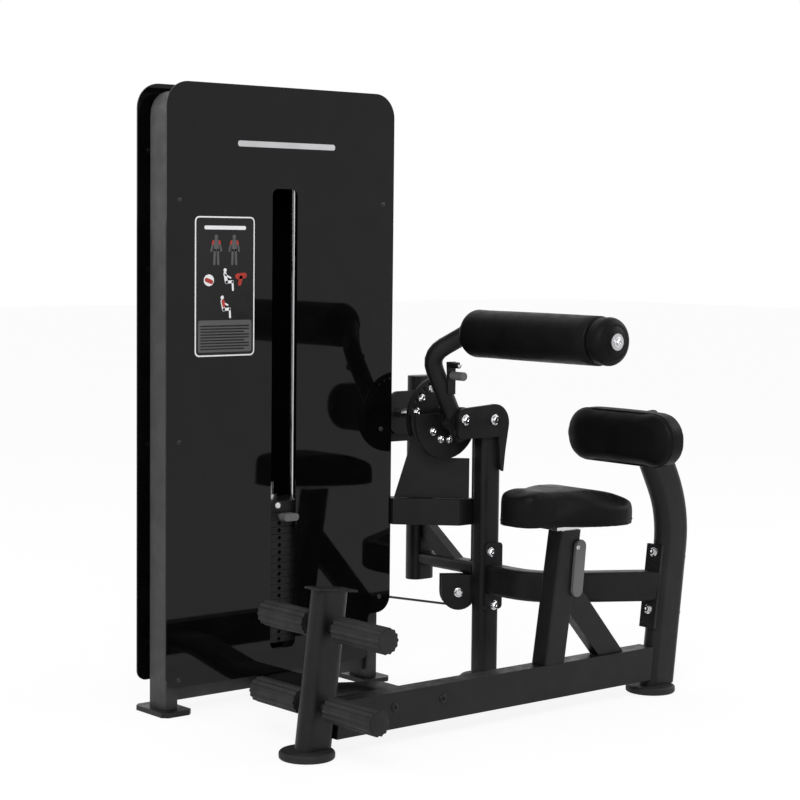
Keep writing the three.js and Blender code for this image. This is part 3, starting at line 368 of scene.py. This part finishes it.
def bolt(target, centre, axis, radius):
    """A washer, a chamfered hex head and a socket recess, standing on centre along axis."""
    washer = radius * 0.16
    washer_profile = [
        (0, -0.0004),
        (radius * 1.35, -0.0004),
        (radius * 1.35, washer * 0.6),
        (radius * 1.25, washer),
        (0, washer),
    ]
    revolve(target, washer_profile, centre, axis)
    top = washer + radius * 0.75
    head_profile = [
        (0, washer * 0.5),
        (radius, washer * 0.5),
        (radius, top - radius * 0.15),
        (radius * 0.86, top),
        (radius * 0.45, top),
        (radius * 0.4, top - radius * 0.35),
        (0, top - radius * 0.35),
    ]
    revolve(target, head_profile, centre, axis, sides=6)


def on_surface(node, centre, axis, reach=0.4):
    """The point where a line that comes in against axis, towards centre, first meets a CAD node."""
    data = NODES[node].data
    skin = BVHTree.FromPolygons([v.co for v in data.vertices], [p.vertices for p in data.polygons])
    found = skin.ray_cast(Vector(centre) + axis * reach, -axis)[0]
    if found is None:
        raise ValueError(f"no surface of {node} near {tuple(centre)}")
    return found


def bolt_set(name, body, places, radius=BOLT_RADIUS):
    """Bolts at (node, centre, axis) places, each one seated on its CAD node."""
    built = bmesh.new()
    for node, centre, axis in places:
        bolt(built, on_surface(node, centre, axis), axis, radius)
    return publish(name, built, MATERIALS["chrome"], body)


def plate(target, outline, face_x, thick):
    """Adds a thin solid whose (y, z) outline lies on the plane x = face_x and stands out to +X."""
    low = [target.verts.new((face_x, y, z)) for y, z in outline]
    high = [target.verts.new((face_x + thick, y, z)) for y, z in outline]
    target.faces.new(low)
    target.faces.new(high)
    for step in range(len(outline)):
        after = (step + 1) % len(outline)
        target.faces.new((low[step], low[after], high[after], high[step]))


def rounded(y0, y1, z0, z1, radius, steps=5):
    """The outline of a rectangle with round corners."""
    corners = [(y1 - radius, z1 - radius, 0), (y0 + radius, z1 - radius, 90)]
    corners += [(y0 + radius, z0 + radius, 180), (y1 - radius, z0 + radius, 270)]
    outline = []
    for y, z, start in corners:
        for step in range(steps + 1):
            turn = math.radians(start + 90 * step / steps)
            outline.append((y + radius * math.cos(turn), z + radius * math.sin(turn)))
    return outline


def capsule(start, end, radius, steps=5):
    """The outline of a limb: a line from start to end with round ends."""
    heading = math.atan2(end[1] - start[1], end[0] - start[0])
    outline = []
    for point, first in ((end, heading - math.pi / 2), (start, heading + math.pi / 2)):
        for step in range(steps + 1):
            turn = first + math.pi * step / steps
            outline.append((point[0] + radius * math.cos(turn), point[1] + radius * math.sin(turn)))
    return outline


# ---------- pads ----------
def evaluated_mesh(piece):
    graph = bpy.context.evaluated_depsgraph_get()
    return bpy.data.meshes.new_from_object(piece.evaluated_get(graph))


def bake(piece):
    """Replaces a piece's mesh with its modified one and drops the modifiers."""
    shaped = evaluated_mesh(piece)
    piece.modifiers.clear()
    piece.data = shaped


def pinned_group(piece, held):
    """A vertex group of the points that the cloth simulation keeps in place."""
    group = piece.vertex_groups.new(name="held")
    group.add([v.index for v in piece.data.vertices if held(v.co)], 1.0, "REPLACE")
    return group


def soften(piece, held, rounds):
    """Smooths the points of a piece that held doesn't pick, in so many rounds."""
    shape = bmesh.new()
    shape.from_mesh(piece.data)
    loose = [v for v in shape.verts if not held(v.co)]
    every_axis = {"use_axis_x": True, "use_axis_y": True, "use_axis_z": True}
    for _ in range(rounds):
        bmesh.ops.smooth_vert(shape, verts=loose, factor=0.5, **every_axis)
    shape.to_mesh(piece.data)
    shape.free()


def inflate(piece, held):
    """Swells the pad's skin with a short cloth simulation, and caps how far each point may move."""
    rest = [v.co.copy() for v in piece.data.vertices]
    group = pinned_group(piece, held)
    cloth = piece.modifiers.new("swell", "CLOTH")
    cloth.settings.quality = 5
    cloth.settings.mass = 0.3
    cloth.settings.tension_stiffness = 15
    cloth.settings.compression_stiffness = 15
    cloth.settings.bending_stiffness = 0.8
    cloth.settings.use_pressure = True
    cloth.settings.uniform_pressure_force = PRESSURE
    cloth.settings.vertex_group_mass = group.name
    cloth.settings.effector_weights.gravity = 0
    cloth.collision_settings.use_collision = False
    for step in range(1, SWELL_STEPS + 1):
        bpy.context.scene.frame_set(step)
    bake(piece)
    for vertex, origin in zip(piece.data.vertices, rest):
        move = vertex.co - origin
        if move.length > SWELL_LIMIT:
            vertex.co = origin + move.normalized() * SWELL_LIMIT
    bpy.context.scene.frame_set(1)


def pad_from(node, name, body, held, rounds, shrink):
    """A stuffed pad that grows from a CAD solid: remeshed, rounded off and swollen."""
    centre = sum(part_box(node), Vector()) / 2
    data = NODES[node].data.copy()
    for vertex in data.vertices:
        vertex.co = centre + Vector(a * b for a, b in zip(vertex.co - centre, shrink))
    pad = bpy.data.objects.new(name, data)
    bpy.context.scene.collection.objects.link(pad)
    remesh = pad.modifiers.new("remesh", "REMESH")
    remesh.mode = "VOXEL"
    remesh.voxel_size = VOXEL
    bake(pad)
    soften(pad, held, rounds)
    inflate(pad, held)
    soften(pad, held, LAST_SMOOTHING)
    pad.data.materials.clear()
    pad.data.materials.append(MATERIALS["leather"])
    pad.data.shade_smooth()
    finer = pad.modifiers.new("finer", "SUBSURF")
    finer.levels = finer.render_levels = 1
    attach(pad, body)
    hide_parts(node)
    return pad


def seam(name, points, pad, body):
    """A sewn welt that lies on a pad's skin along a closed line of points."""
    graph = bpy.context.evaluated_depsgraph_get()
    skin = BVHTree.FromObject(pad, graph)
    inverse = pad.matrix_world.inverted()
    curve = bpy.data.curves.new(name, "CURVE")
    curve.dimensions = "3D"
    curve.bevel_depth = SEAM_RADIUS
    curve.bevel_resolution = 2
    spline = curve.splines.new("POLY")
    spline.points.add(len(points) - 1)
    for place, point in zip(spline.points, points):
        nearest = skin.find_nearest(inverse @ Vector(point))[0]
        place.co = (*(pad.matrix_world @ nearest), 1)
    spline.use_cyclic_u = True
    curve.materials.append(MATERIALS["leather"])
    made = bpy.data.objects.new(name, curve)
    bpy.context.scene.collection.objects.link(made)
    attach(made, body)
    return made


back_low, back_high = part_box("back_pad")
back_pad = pad_from(
    "back_pad",
    "back_cushion",
    "root",
    held=lambda co: co.y > back_high.y - BACK_HELD_DEPTH,
    rounds=5,
    shrink=(1.0, 0.97, 1.0),
)
back_round = (back_high.z - back_low.z) / 2 - BACK_SEAM_INSET
back_outline = rounded(back_low.x, back_high.x, back_low.z, back_high.z, back_round, 16)
back_face = [(x, back_low.y + BACK_SEAM_DEPTH, z) for x, z in back_outline]
seam("back_cushion_seam", back_face, back_pad, "root")

seat_low, seat_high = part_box("seat_pad")
seat_pad = pad_from(
    "seat_pad",
    "seat_cushion",
    "seat",
    held=lambda co: co.z < seat_low.z + SEAT_HELD_DEPTH,
    rounds=10,
    shrink=(1.0, 1.0, 0.98),
)


def outline_at(pad, height, count=72):
    """Points round the seat pad at a height, found by looking in from outside."""
    graph = bpy.context.evaluated_depsgraph_get()
    skin = BVHTree.FromObject(pad, graph)
    inverse = pad.matrix_world.inverted()
    middle = (seat_low + seat_high) / 2
    points = []
    for step in range(count):
        turn = 2 * math.pi * step / count
        heading = Vector((math.cos(turn), math.sin(turn), 0))
        start = Vector((middle.x, middle.y, height)) + heading * OUTSIDE_SEAT
        found = skin.ray_cast(inverse @ start, inverse.to_3x3() @ -heading)[0]
        if found:
            points.append(pad.matrix_world @ found)
    return points


seam("seat_cushion_seam", outline_at(seat_pad, seat_low.z + SEAT_SEAM_HEIGHT), seat_pad, "seat")

# the roller: foam sleeve with a rolled edge at each end, and a moulded cap on the outer one
roll_low, roll_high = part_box("roller_pad")
roll_centre = (roll_low + roll_high) / 2
roll_radius = (roll_high.z - roll_low.z) / 2
roll_half = (roll_high.x - roll_low.x) / 2


def roller_profile():
    """The sleeve's section: inner edge, slightly bulged body, groove, rounded cap."""
    edge_radius = roll_radius - ROLL_EDGE
    profile = [(0, -roll_half + 0.001), (edge_radius, -roll_half)]
    for step in range(1, ROLL_EDGE_STEPS + 1):
        turn = math.radians(90 * step / ROLL_EDGE_STEPS)
        inner = -roll_half + ROLL_EDGE - ROLL_EDGE * math.cos(turn)
        profile.append((edge_radius + ROLL_EDGE * math.sin(turn), inner))
    body_end = roll_half - ROLL_CAP_LENGTH
    for step in range(1, ROLL_BODY_STEPS + 1):
        share = step / ROLL_BODY_STEPS
        bulge = ROLL_BULGE * math.sin(math.pi * share)
        along = -roll_half + ROLL_EDGE + (body_end + roll_half - ROLL_EDGE) * share
        profile.append((roll_radius - 0.0008 + bulge, along))
    profile += [(roll_radius - 0.003, body_end + 0.003), (roll_radius - 0.009, body_end + 0.004)]
    profile += [(roll_radius - 0.009, body_end + 0.009), (roll_radius - 0.004, body_end + 0.010)]
    for step in range(ROLL_EDGE_STEPS + 1):
        turn = math.radians(90 * step / ROLL_EDGE_STEPS)
        outer = roll_half - ROLL_EDGE + ROLL_EDGE * math.sin(turn)
        profile.append((edge_radius + (ROLL_EDGE - 0.0025) * math.cos(turn), outer))
    profile += [(0.037, roll_half), (0.0365, roll_half - 0.0008), (0.036, roll_half), (0, roll_half)]
    return profile


roller = bmesh.new()
revolve(roller, roller_profile(), roll_centre, X, sides=72)
roller = publish("roller_sleeve", roller, MATERIALS["leather"], "roller", sharp=60)
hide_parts("roller_pad")
bolt_set("roller_end_bolt", "arm_body", [("roller_axle", roll_centre, X)])

# ---------- cable above the stack ------------------------------------------
stack_low, stack_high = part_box("stack_cable")
cable = bmesh.new()
cable_axis = (stack_low + stack_high) / 2
cable_length = stack_high.z - stack_low.z
cable_radius = (stack_high.x - stack_low.x) / 2
cable_profile = [(0, -cable_length / 2)]
cable_profile += [(cable_radius, cable_length * (step / 12 - 0.5)) for step in range(13)]
cable_profile.append((0, cable_length / 2))
revolve(cable, cable_profile, cable_axis, Z, sides=12)
cable = publish("stack_cable_run", cable, MATERIALS["cable_coat"], "root")
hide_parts("stack_cable")
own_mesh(cable)

# ---------- fasteners ----------
panel_low, panel_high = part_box("front_panel")
panel_face = panel_high.x
leg_low, leg_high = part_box("tower_frame")
front_heights = (panel_low.z + LOWEST_SCREW_FRONT, *UPPER_SCREW_HEIGHTS)
rear_heights = (panel_low.z + LOWEST_SCREW_REAR, *UPPER_SCREW_HEIGHTS)
screw_places = [(panel_face, leg_low.y + SCREW_INSET, z) for z in front_heights]
screw_places += [(panel_face, leg_high.y - SCREW_INSET, z) for z in rear_heights]


def dome(target, centre, axis, radius):
    """A low button head with a small drive recess."""
    steps = [(radius * math.cos(t), radius * 0.42 * math.sin(t)) for t in (0, 0.35, 0.7, 1.05, 1.3)]
    recess = radius * 0.3
    top = radius * 0.42
    profile = [(0, -0.0003), (radius, -0.0003), *steps, (recess, top), (recess, top * 0.4), (0, top * 0.4)]
    revolve(target, profile, Vector(centre), axis)


screws = bmesh.new()
for centre in screw_places:
    dome(screws, centre, X, SCREW_RADIUS)
publish("panel_screws", screws, MATERIALS["black_plastic"], "root")

pivot = Vector(JOINTS["arm_stroke"]["pos_m"])
head_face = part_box("upright_head_plate")[1].x
upright_low, upright_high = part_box("upright")
upright_y = (upright_low.y + upright_high.y) / 2
bolt_set(
    "head_plate_bolts",
    "root",
    [
        ("upright_head_plate", (head_face, pivot.y, pivot.z), X),
        ("upright_head_plate", (head_face, upright_y - 0.006, pivot.z - 0.004), X),
    ],
    HEAD_BOLT_RADIUS,
)
beam_low, beam_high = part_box("arc_beam")
flange_z = (beam_low.z + beam_high.z) / 2
flange_places = [
    ("arc_beam", (upright_high.x, upright_y + y, flange_z + z), X) for y, z in FLANGE_BOLTS
]
bolt_set("upright_flange_bolts", "root", flange_places)

post_low, post_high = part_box("rear_post")
lean = math.radians(REAR_POST_LEAN)
through = Vector((0, math.cos(lean), -math.sin(lean)))
rear_bolts = []
rail_x = (post_low.x + post_high.x) / 2
for z in REAR_BOLT_HEIGHTS:
    middle = Vector((rail_x, (post_low.y + post_high.y) / 2, z))
    rear_bolts.append(("arc_beam", middle, -through))
    rear_bolts.append(("rear_post", middle, through))
bolt_set("rear_post_bolts", "root", rear_bolts)

rail_low, rail_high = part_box("main_rail")
rail_screws = bmesh.new()
foot_y = sum(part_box("front_foot"), Vector()).y / 2
for reach in RAIL_SCREW_REACHES:
    centre = (rail_high.x, foot_y + reach, rail_low.z + RAIL_SCREW_HEIGHT)
    dome(rail_screws, centre, X, RAIL_SCREW_RADIUS)
publish("rail_screws", rail_screws, MATERIALS["frame_coat"], "root")

guard = Vector(JOINTS["low_pulley_spin"]["pos_m"])
guard_axis = Vector(JOINTS["low_pulley_spin"]["axis"])
bolt_set("pulley_guard_bolts", "root", [("low_pulley_guard", guard, guard_axis)])

# bolts on the cam's index plate and hub, seen beside the arm
cam_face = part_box("cam")[1].x
cam_places = []
for reach, turns in ((RIM_BOLT_REACH, RIM_BOLT_TURNS), (HUB_BOLT_REACH, HUB_BOLT_TURNS)):
    for turn in turns:
        angle = math.radians(turn)
        centre = (cam_face, pivot.y + reach * math.cos(angle), pivot.z + reach * math.sin(angle))
        cam_places.append(("cam", centre, X))
bolt_set("cam_bolts", "cam_body", cam_places, CAM_BOLT_RADIUS)

# peg end caps, start lever tip and seat lever rivet
pegs = bmesh.new()
for level in ("lower", "upper"):
    for side, sign in (("left", -1), ("right", 1)):
        low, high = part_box(f"peg_grip_{level}_{side}")
        middle = (low + high) / 2
        end = high.x if sign > 0 else low.x
        radius = (high.z - low.z) / 2
        profile = [(0, -0.001), (radius * 0.9, -0.001), (radius * 0.86, 0.0015)]
        profile += [(radius * 0.6, 0.003), (0, 0.0034)]
        revolve(pegs, profile, Vector((end, middle.y, middle.z)), X * sign)
publish("peg_end_caps", pegs, MATERIALS["rubber"], "root")

lever_bar_low, lever_bar_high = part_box("start_lever")
tip = bmesh.new()
revolve(
    tip,
    [(0, -0.001), (0.0066, -0.001), (0.0066, 0.002), (0.005, 0.0032), (0, 0.0036)],
    Vector((lever_bar_high.x, lever_bar_low.y + 0.014, lever_bar_high.z - 0.008)),
    X,
)
publish("start_knob_tip", tip, MATERIALS["chrome"], "start_lever_body")

lever_low, lever_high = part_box("seat_lever")
lever_pin = bmesh.new()
rivet_place = (lever_high.x, (lever_low.y + lever_high.y) / 2 - 0.006, lever_high.z - 0.018)
dome(lever_pin, rivet_place, X, SCREW_RADIUS)
publish("seat_lever_rivet", lever_pin, MATERIALS["steel"], "seat_lever_body")

# ---------- weight stack: selector holes with iron bushes, and a button on the head plate ----------
stack_node_low, stack_node_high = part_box("lower_weight_plates")
stack_middle = (stack_node_low.y + stack_node_high.y) / 2
count = round((stack_node_high.z - stack_node_low.z) / PITCH)
holes = bmesh.new()
bushes = bmesh.new()
shadow_profile = [(0, 0.0002), (0.0048, 0.0002), (0.0048, 0.0008), (0, 0.0008)]
bush_profile = [(0, -0.0002), (0.0068, -0.0002), (0.0068, 0.0006)]
bush_profile += [(0.0058, 0.0010), (0.0050, 0.0006), (0, 0.0006)]
for index in range(count):
    z = stack_node_low.z + PITCH * index + HOLE_HEIGHT
    centre = Vector((stack_node_high.x, stack_middle, z))
    revolve(holes, shadow_profile, centre, X, sides=20)
    revolve(bushes, bush_profile, centre, X, sides=20)
publish("selector_hole_shadows", holes, HOLE, "root")
publish("selector_hole_bushes", bushes, MATERIALS["plate_iron"], "root")
head_plate_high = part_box("top_plate")[1]
button = bmesh.new()
revolve(
    button,
    [(0, -0.001), (0.0075, -0.001), (0.0075, 0.002), (0.006, 0.004), (0, 0.0045)],
    Vector((head_plate_high.x, stack_middle - 0.006, head_plate_high.z - 0.010)),
    X,
)
publish("head_plate_button", button, WHITE_PRINT, "lifted_stack")

# ---------- placard and trim on the front panel ----------
card_y0 = panel_low.y + CARD_LEFT
card_y1 = panel_low.y + CARD_RIGHT
card_middle = (card_y0 + card_y1) / 2


def printed(name, outlines, layer, material):
    """Prints (y, z) outlines on the front panel as thin sheets, in layers that stand out in turn."""
    built = bmesh.new()
    for outline in outlines:
        plate(built, outline, panel_face + SHEET * (layer - 1) + 0.0001, SHEET)
    return publish(name, built, material, "root")


def figure_standing(y, z, size):
    """A plain standing figure seen from the front."""
    parts = [capsule((y, z + size * 0.44), (y, z + size * 0.45), size * 0.07)]
    parts.append(capsule((y, z + size * 0.05), (y, z + size * 0.28), size * 0.105))
    for side in (-1, 1):
        shoulder = (y + side * size * 0.12, z + size * 0.30)
        hand = (y + side * size * 0.20, z - size * 0.02)
        parts.append(capsule(shoulder, hand, size * 0.035))
        hip = (y + side * size * 0.06, z)
        foot = (y + side * size * 0.08, z - size * 0.45)
        parts.append(capsule(hip, foot, size * 0.045))
    return parts


def figure_seated(y, z, size):
    """A plain seated figure seen from the side."""
    hip, knee = (y, z - size * 0.1), (y + size * 0.3, z - size * 0.08)
    neck = (y - size * 0.08, z + size * 0.25)
    chin, crown = (neck[0], neck[1] + size * 0.14), (neck[0] + size * 0.01, neck[1] + size * 0.15)
    foot = (knee[0] + size * 0.02, z - size * 0.42)
    shoulder, hand = (neck[0], neck[1] - size * 0.04), (y + size * 0.2, z + size * 0.08)
    return [
        capsule(chin, crown, size * 0.075),
        capsule(neck, hip, size * 0.075),
        capsule(hip, knee, size * 0.06),
        capsule(knee, foot, size * 0.045),
        capsule(shoulder, hand, size * 0.035),
    ]


def on_card(y, drop):
    """A point on the card, from its middle line and its top edge."""
    return (card_middle + y, CARD_TOP - drop)


printed("placard_border", [rounded(card_y0, card_y1, CARD_BOTTOM, CARD_TOP, 0.012)], 1, WHITE_PRINT)
inner = rounded(
    card_y0 + CARD_BORDER, card_y1 - CARD_BORDER, CARD_BOTTOM + CARD_BORDER, CARD_TOP - CARD_BORDER, 0.009
)
printed("placard_ground", [inner], 2, DARK_PRINT)
title = rounded(card_middle - 0.060, card_middle + 0.060, CARD_TOP - 0.031, CARD_TOP - 0.022, 0.004)
printed("placard_title_bar", [title], 3, WHITE_PRINT)
standing = []
for offset in FIGURE_OFFSETS:
    standing += figure_standing(*on_card(offset, 0.080), STANDING_SIZE)
printed("placard_figures", standing, 3, GREY_PRINT)
shoulders = []
for offset in FIGURE_OFFSETS:
    for side in (-1, 1):
        point = on_card(offset + side * 0.009, 0.059)
        shoulders.append(capsule(point, (point[0] + side * 0.001, point[1] - 0.005), 0.0028))
printed("placard_accents", shoulders, 4, RED_PRINT)
seated = figure_seated(*on_card(0.004, 0.150), SEATED_SIZE)
seated += figure_seated(*on_card(-0.004, 0.215), SEATED_SIZE)
seated.append(capsule(on_card(-0.048, 0.151), on_card(-0.046, 0.151), 0.014))
printed("placard_seated", seated, 3, WHITE_PRINT)
marks = [
    capsule(on_card(-0.054, 0.150), on_card(-0.040, 0.155), 0.005),
    capsule(on_card(0.036, 0.142), on_card(0.056, 0.140), 0.007),
    capsule(on_card(0.042, 0.160), on_card(0.046, 0.145), 0.005),
    capsule(on_card(-0.006, 0.200), on_card(-0.004, 0.212), 0.004),
]
printed("placard_marks", marks, 4, RED_PRINT)
notice = rounded(card_y0 + 0.009, card_y1 - 0.009, CARD_BOTTOM + 0.010, CARD_BOTTOM + 0.086, 0.005)
printed("placard_notice", [notice], 3, GREY_PRINT)
bars = []
for index in range(NOTICE_BARS):
    z = CARD_BOTTOM + 0.016 + index * NOTICE_BAR_PITCH
    end = card_y1 - (0.016 if index % 3 else 0.030)
    bars.append(rounded(card_y0 + 0.015, end, z, z + NOTICE_BAR_HEIGHT, 0.0014, 2))
printed("placard_notice_bars", bars, 4, DARK_PRINT)

# a plain bright strip where such machines carry a badge
strip_z = panel_high.z - STRIP_DROP
strip_y0, strip_y1 = panel_low.y + STRIP_LEFT, panel_low.y + STRIP_RIGHT
strip = rounded(strip_y0, strip_y1, strip_z, strip_z + STRIP_HEIGHT, 0.006)
printed("badge_strip", [strip], 1, SILVER)


# ---------- stage, light and camera ----------
def white_for_camera(tree, shader_socket, strength):
    """A mix whose second input, the white, is what camera, mirror and glass rays see."""
    rays = node_of(tree, "ShaderNodeLightPath")
    seen = node_of(tree, "ShaderNodeMath", operation="MAXIMUM")
    seen_all = node_of(tree, "ShaderNodeMath", operation="MAXIMUM")
    tree.links.new(rays.outputs["Is Camera Ray"], seen.inputs[0])
    tree.links.new(rays.outputs["Is Glossy Ray"], seen.inputs[1])
    tree.links.new(seen.outputs[0], seen_all.inputs[0])
    tree.links.new(rays.outputs["Is Transmission Ray"], seen_all.inputs[1])
    share = node_of(tree, "ShaderNodeMath", operation="MULTIPLY")
    share.inputs[1].default_value = strength
    tree.links.new(seen_all.outputs[0], share.inputs[0])
    mix = node_of(tree, "ShaderNodeMixShader")
    tree.links.new(share.outputs[0], mix.inputs["Fac"])
    tree.links.new(shader_socket, mix.inputs[1])
    return mix


def white_world():
    world = bpy.data.worlds.new("studio")
    bpy.context.scene.world = world
    world.use_nodes = True
    tree = world.node_tree
    tree.nodes.clear()
    ambient = node_of(tree, "ShaderNodeBackground")
    ambient.inputs["Color"].default_value = (1, 1, 1, 1)
    ambient.inputs["Strength"].default_value = AMBIENT
    white = node_of(tree, "ShaderNodeBackground")
    white.inputs["Color"].default_value = (1, 1, 1, 1)
    white.inputs["Strength"].default_value = 1.0
    output = node_of(tree, "ShaderNodeOutputWorld")
    mix = white_for_camera(tree, ambient.outputs[0], 1.0)
    tree.links.new(white.outputs[0], mix.inputs[2])
    tree.links.new(mix.outputs[0], output.inputs["Surface"])


def pale_floor():
    made = bmesh.new()
    bmesh.ops.create_grid(made, x_segments=1, y_segments=1, size=FLOOR_SIZE)
    data = bpy.data.meshes.new("floor")
    made.to_mesh(data)
    made.free()
    floor = bpy.data.objects.new("floor", data)
    floor.location.z = -FLOOR_DROP
    bpy.context.scene.collection.objects.link(floor)
    paint = bpy.data.materials.new("floor_paint")
    paint.use_nodes = True
    tree = paint.node_tree
    tree.nodes.clear()
    matt = node_of(tree, "ShaderNodeBsdfDiffuse")
    matt.inputs["Color"].default_value = (0.95, 0.95, 0.95, 1)
    white = node_of(tree, "ShaderNodeEmission")
    white.inputs["Strength"].default_value = FLOOR_WHITE
    output = node_of(tree, "ShaderNodeOutputMaterial")
    mix = white_for_camera(tree, matt.outputs[0], FLOOR_WHITE_SHARE)
    tree.links.new(white.outputs[0], mix.inputs[2])
    tree.links.new(mix.outputs[0], output.inputs["Surface"])
    data.materials.append(paint)


def softbox(name, place, size, watts):
    light = bpy.data.lights.new(name, "AREA")
    light.shape = "DISK"
    light.size = size
    light.energy = watts
    lamp = bpy.data.objects.new(name, light)
    lamp.location = place
    aim = Vector((0, 0, 0.6)) - Vector(place)
    lamp.rotation_euler = aim.to_track_quat("-Z", "Y").to_euler()
    bpy.context.scene.collection.objects.link(lamp)


def camera():
    turn = math.radians(CAMERA_AZIMUTH)
    pitch = math.radians(CAMERA_PITCH)
    roll = math.radians(CAMERA_ROLL)
    level = math.cos(pitch)
    back = Vector((math.sin(turn) * level, -math.cos(turn) * level, math.sin(pitch)))
    right = Vector((math.cos(turn), math.sin(turn), 0))
    up = back.cross(right)
    rolled_right = right * math.cos(roll) + up * math.sin(roll)
    rolled_up = up * math.cos(roll) - right * math.sin(roll)
    view = bpy.data.cameras.new("camera")
    view.sensor_width = SENSOR_WIDTH
    view.lens = CAMERA_LENS
    view.clip_end = 60
    eye = bpy.data.objects.new("camera", view)
    turned = Matrix((rolled_right, rolled_up, back)).transposed().to_4x4()
    eye.matrix_world = Matrix.Translation(CAMERA_POSITION) @ turned
    bpy.context.scene.collection.objects.link(eye)
    bpy.context.scene.camera = eye


white_world()
pale_floor()
softbox("key", place=(3.2, -3.4, 3.6), size=2.4, watts=120)
softbox("fill", place=(-3.4, -2.6, 2.4), size=2.6, watts=20)
softbox("back", place=(1.5, 4.2, 3.2), size=2.4, watts=45)
camera()
bpy.context.scene.view_settings.view_transform = "Standard"
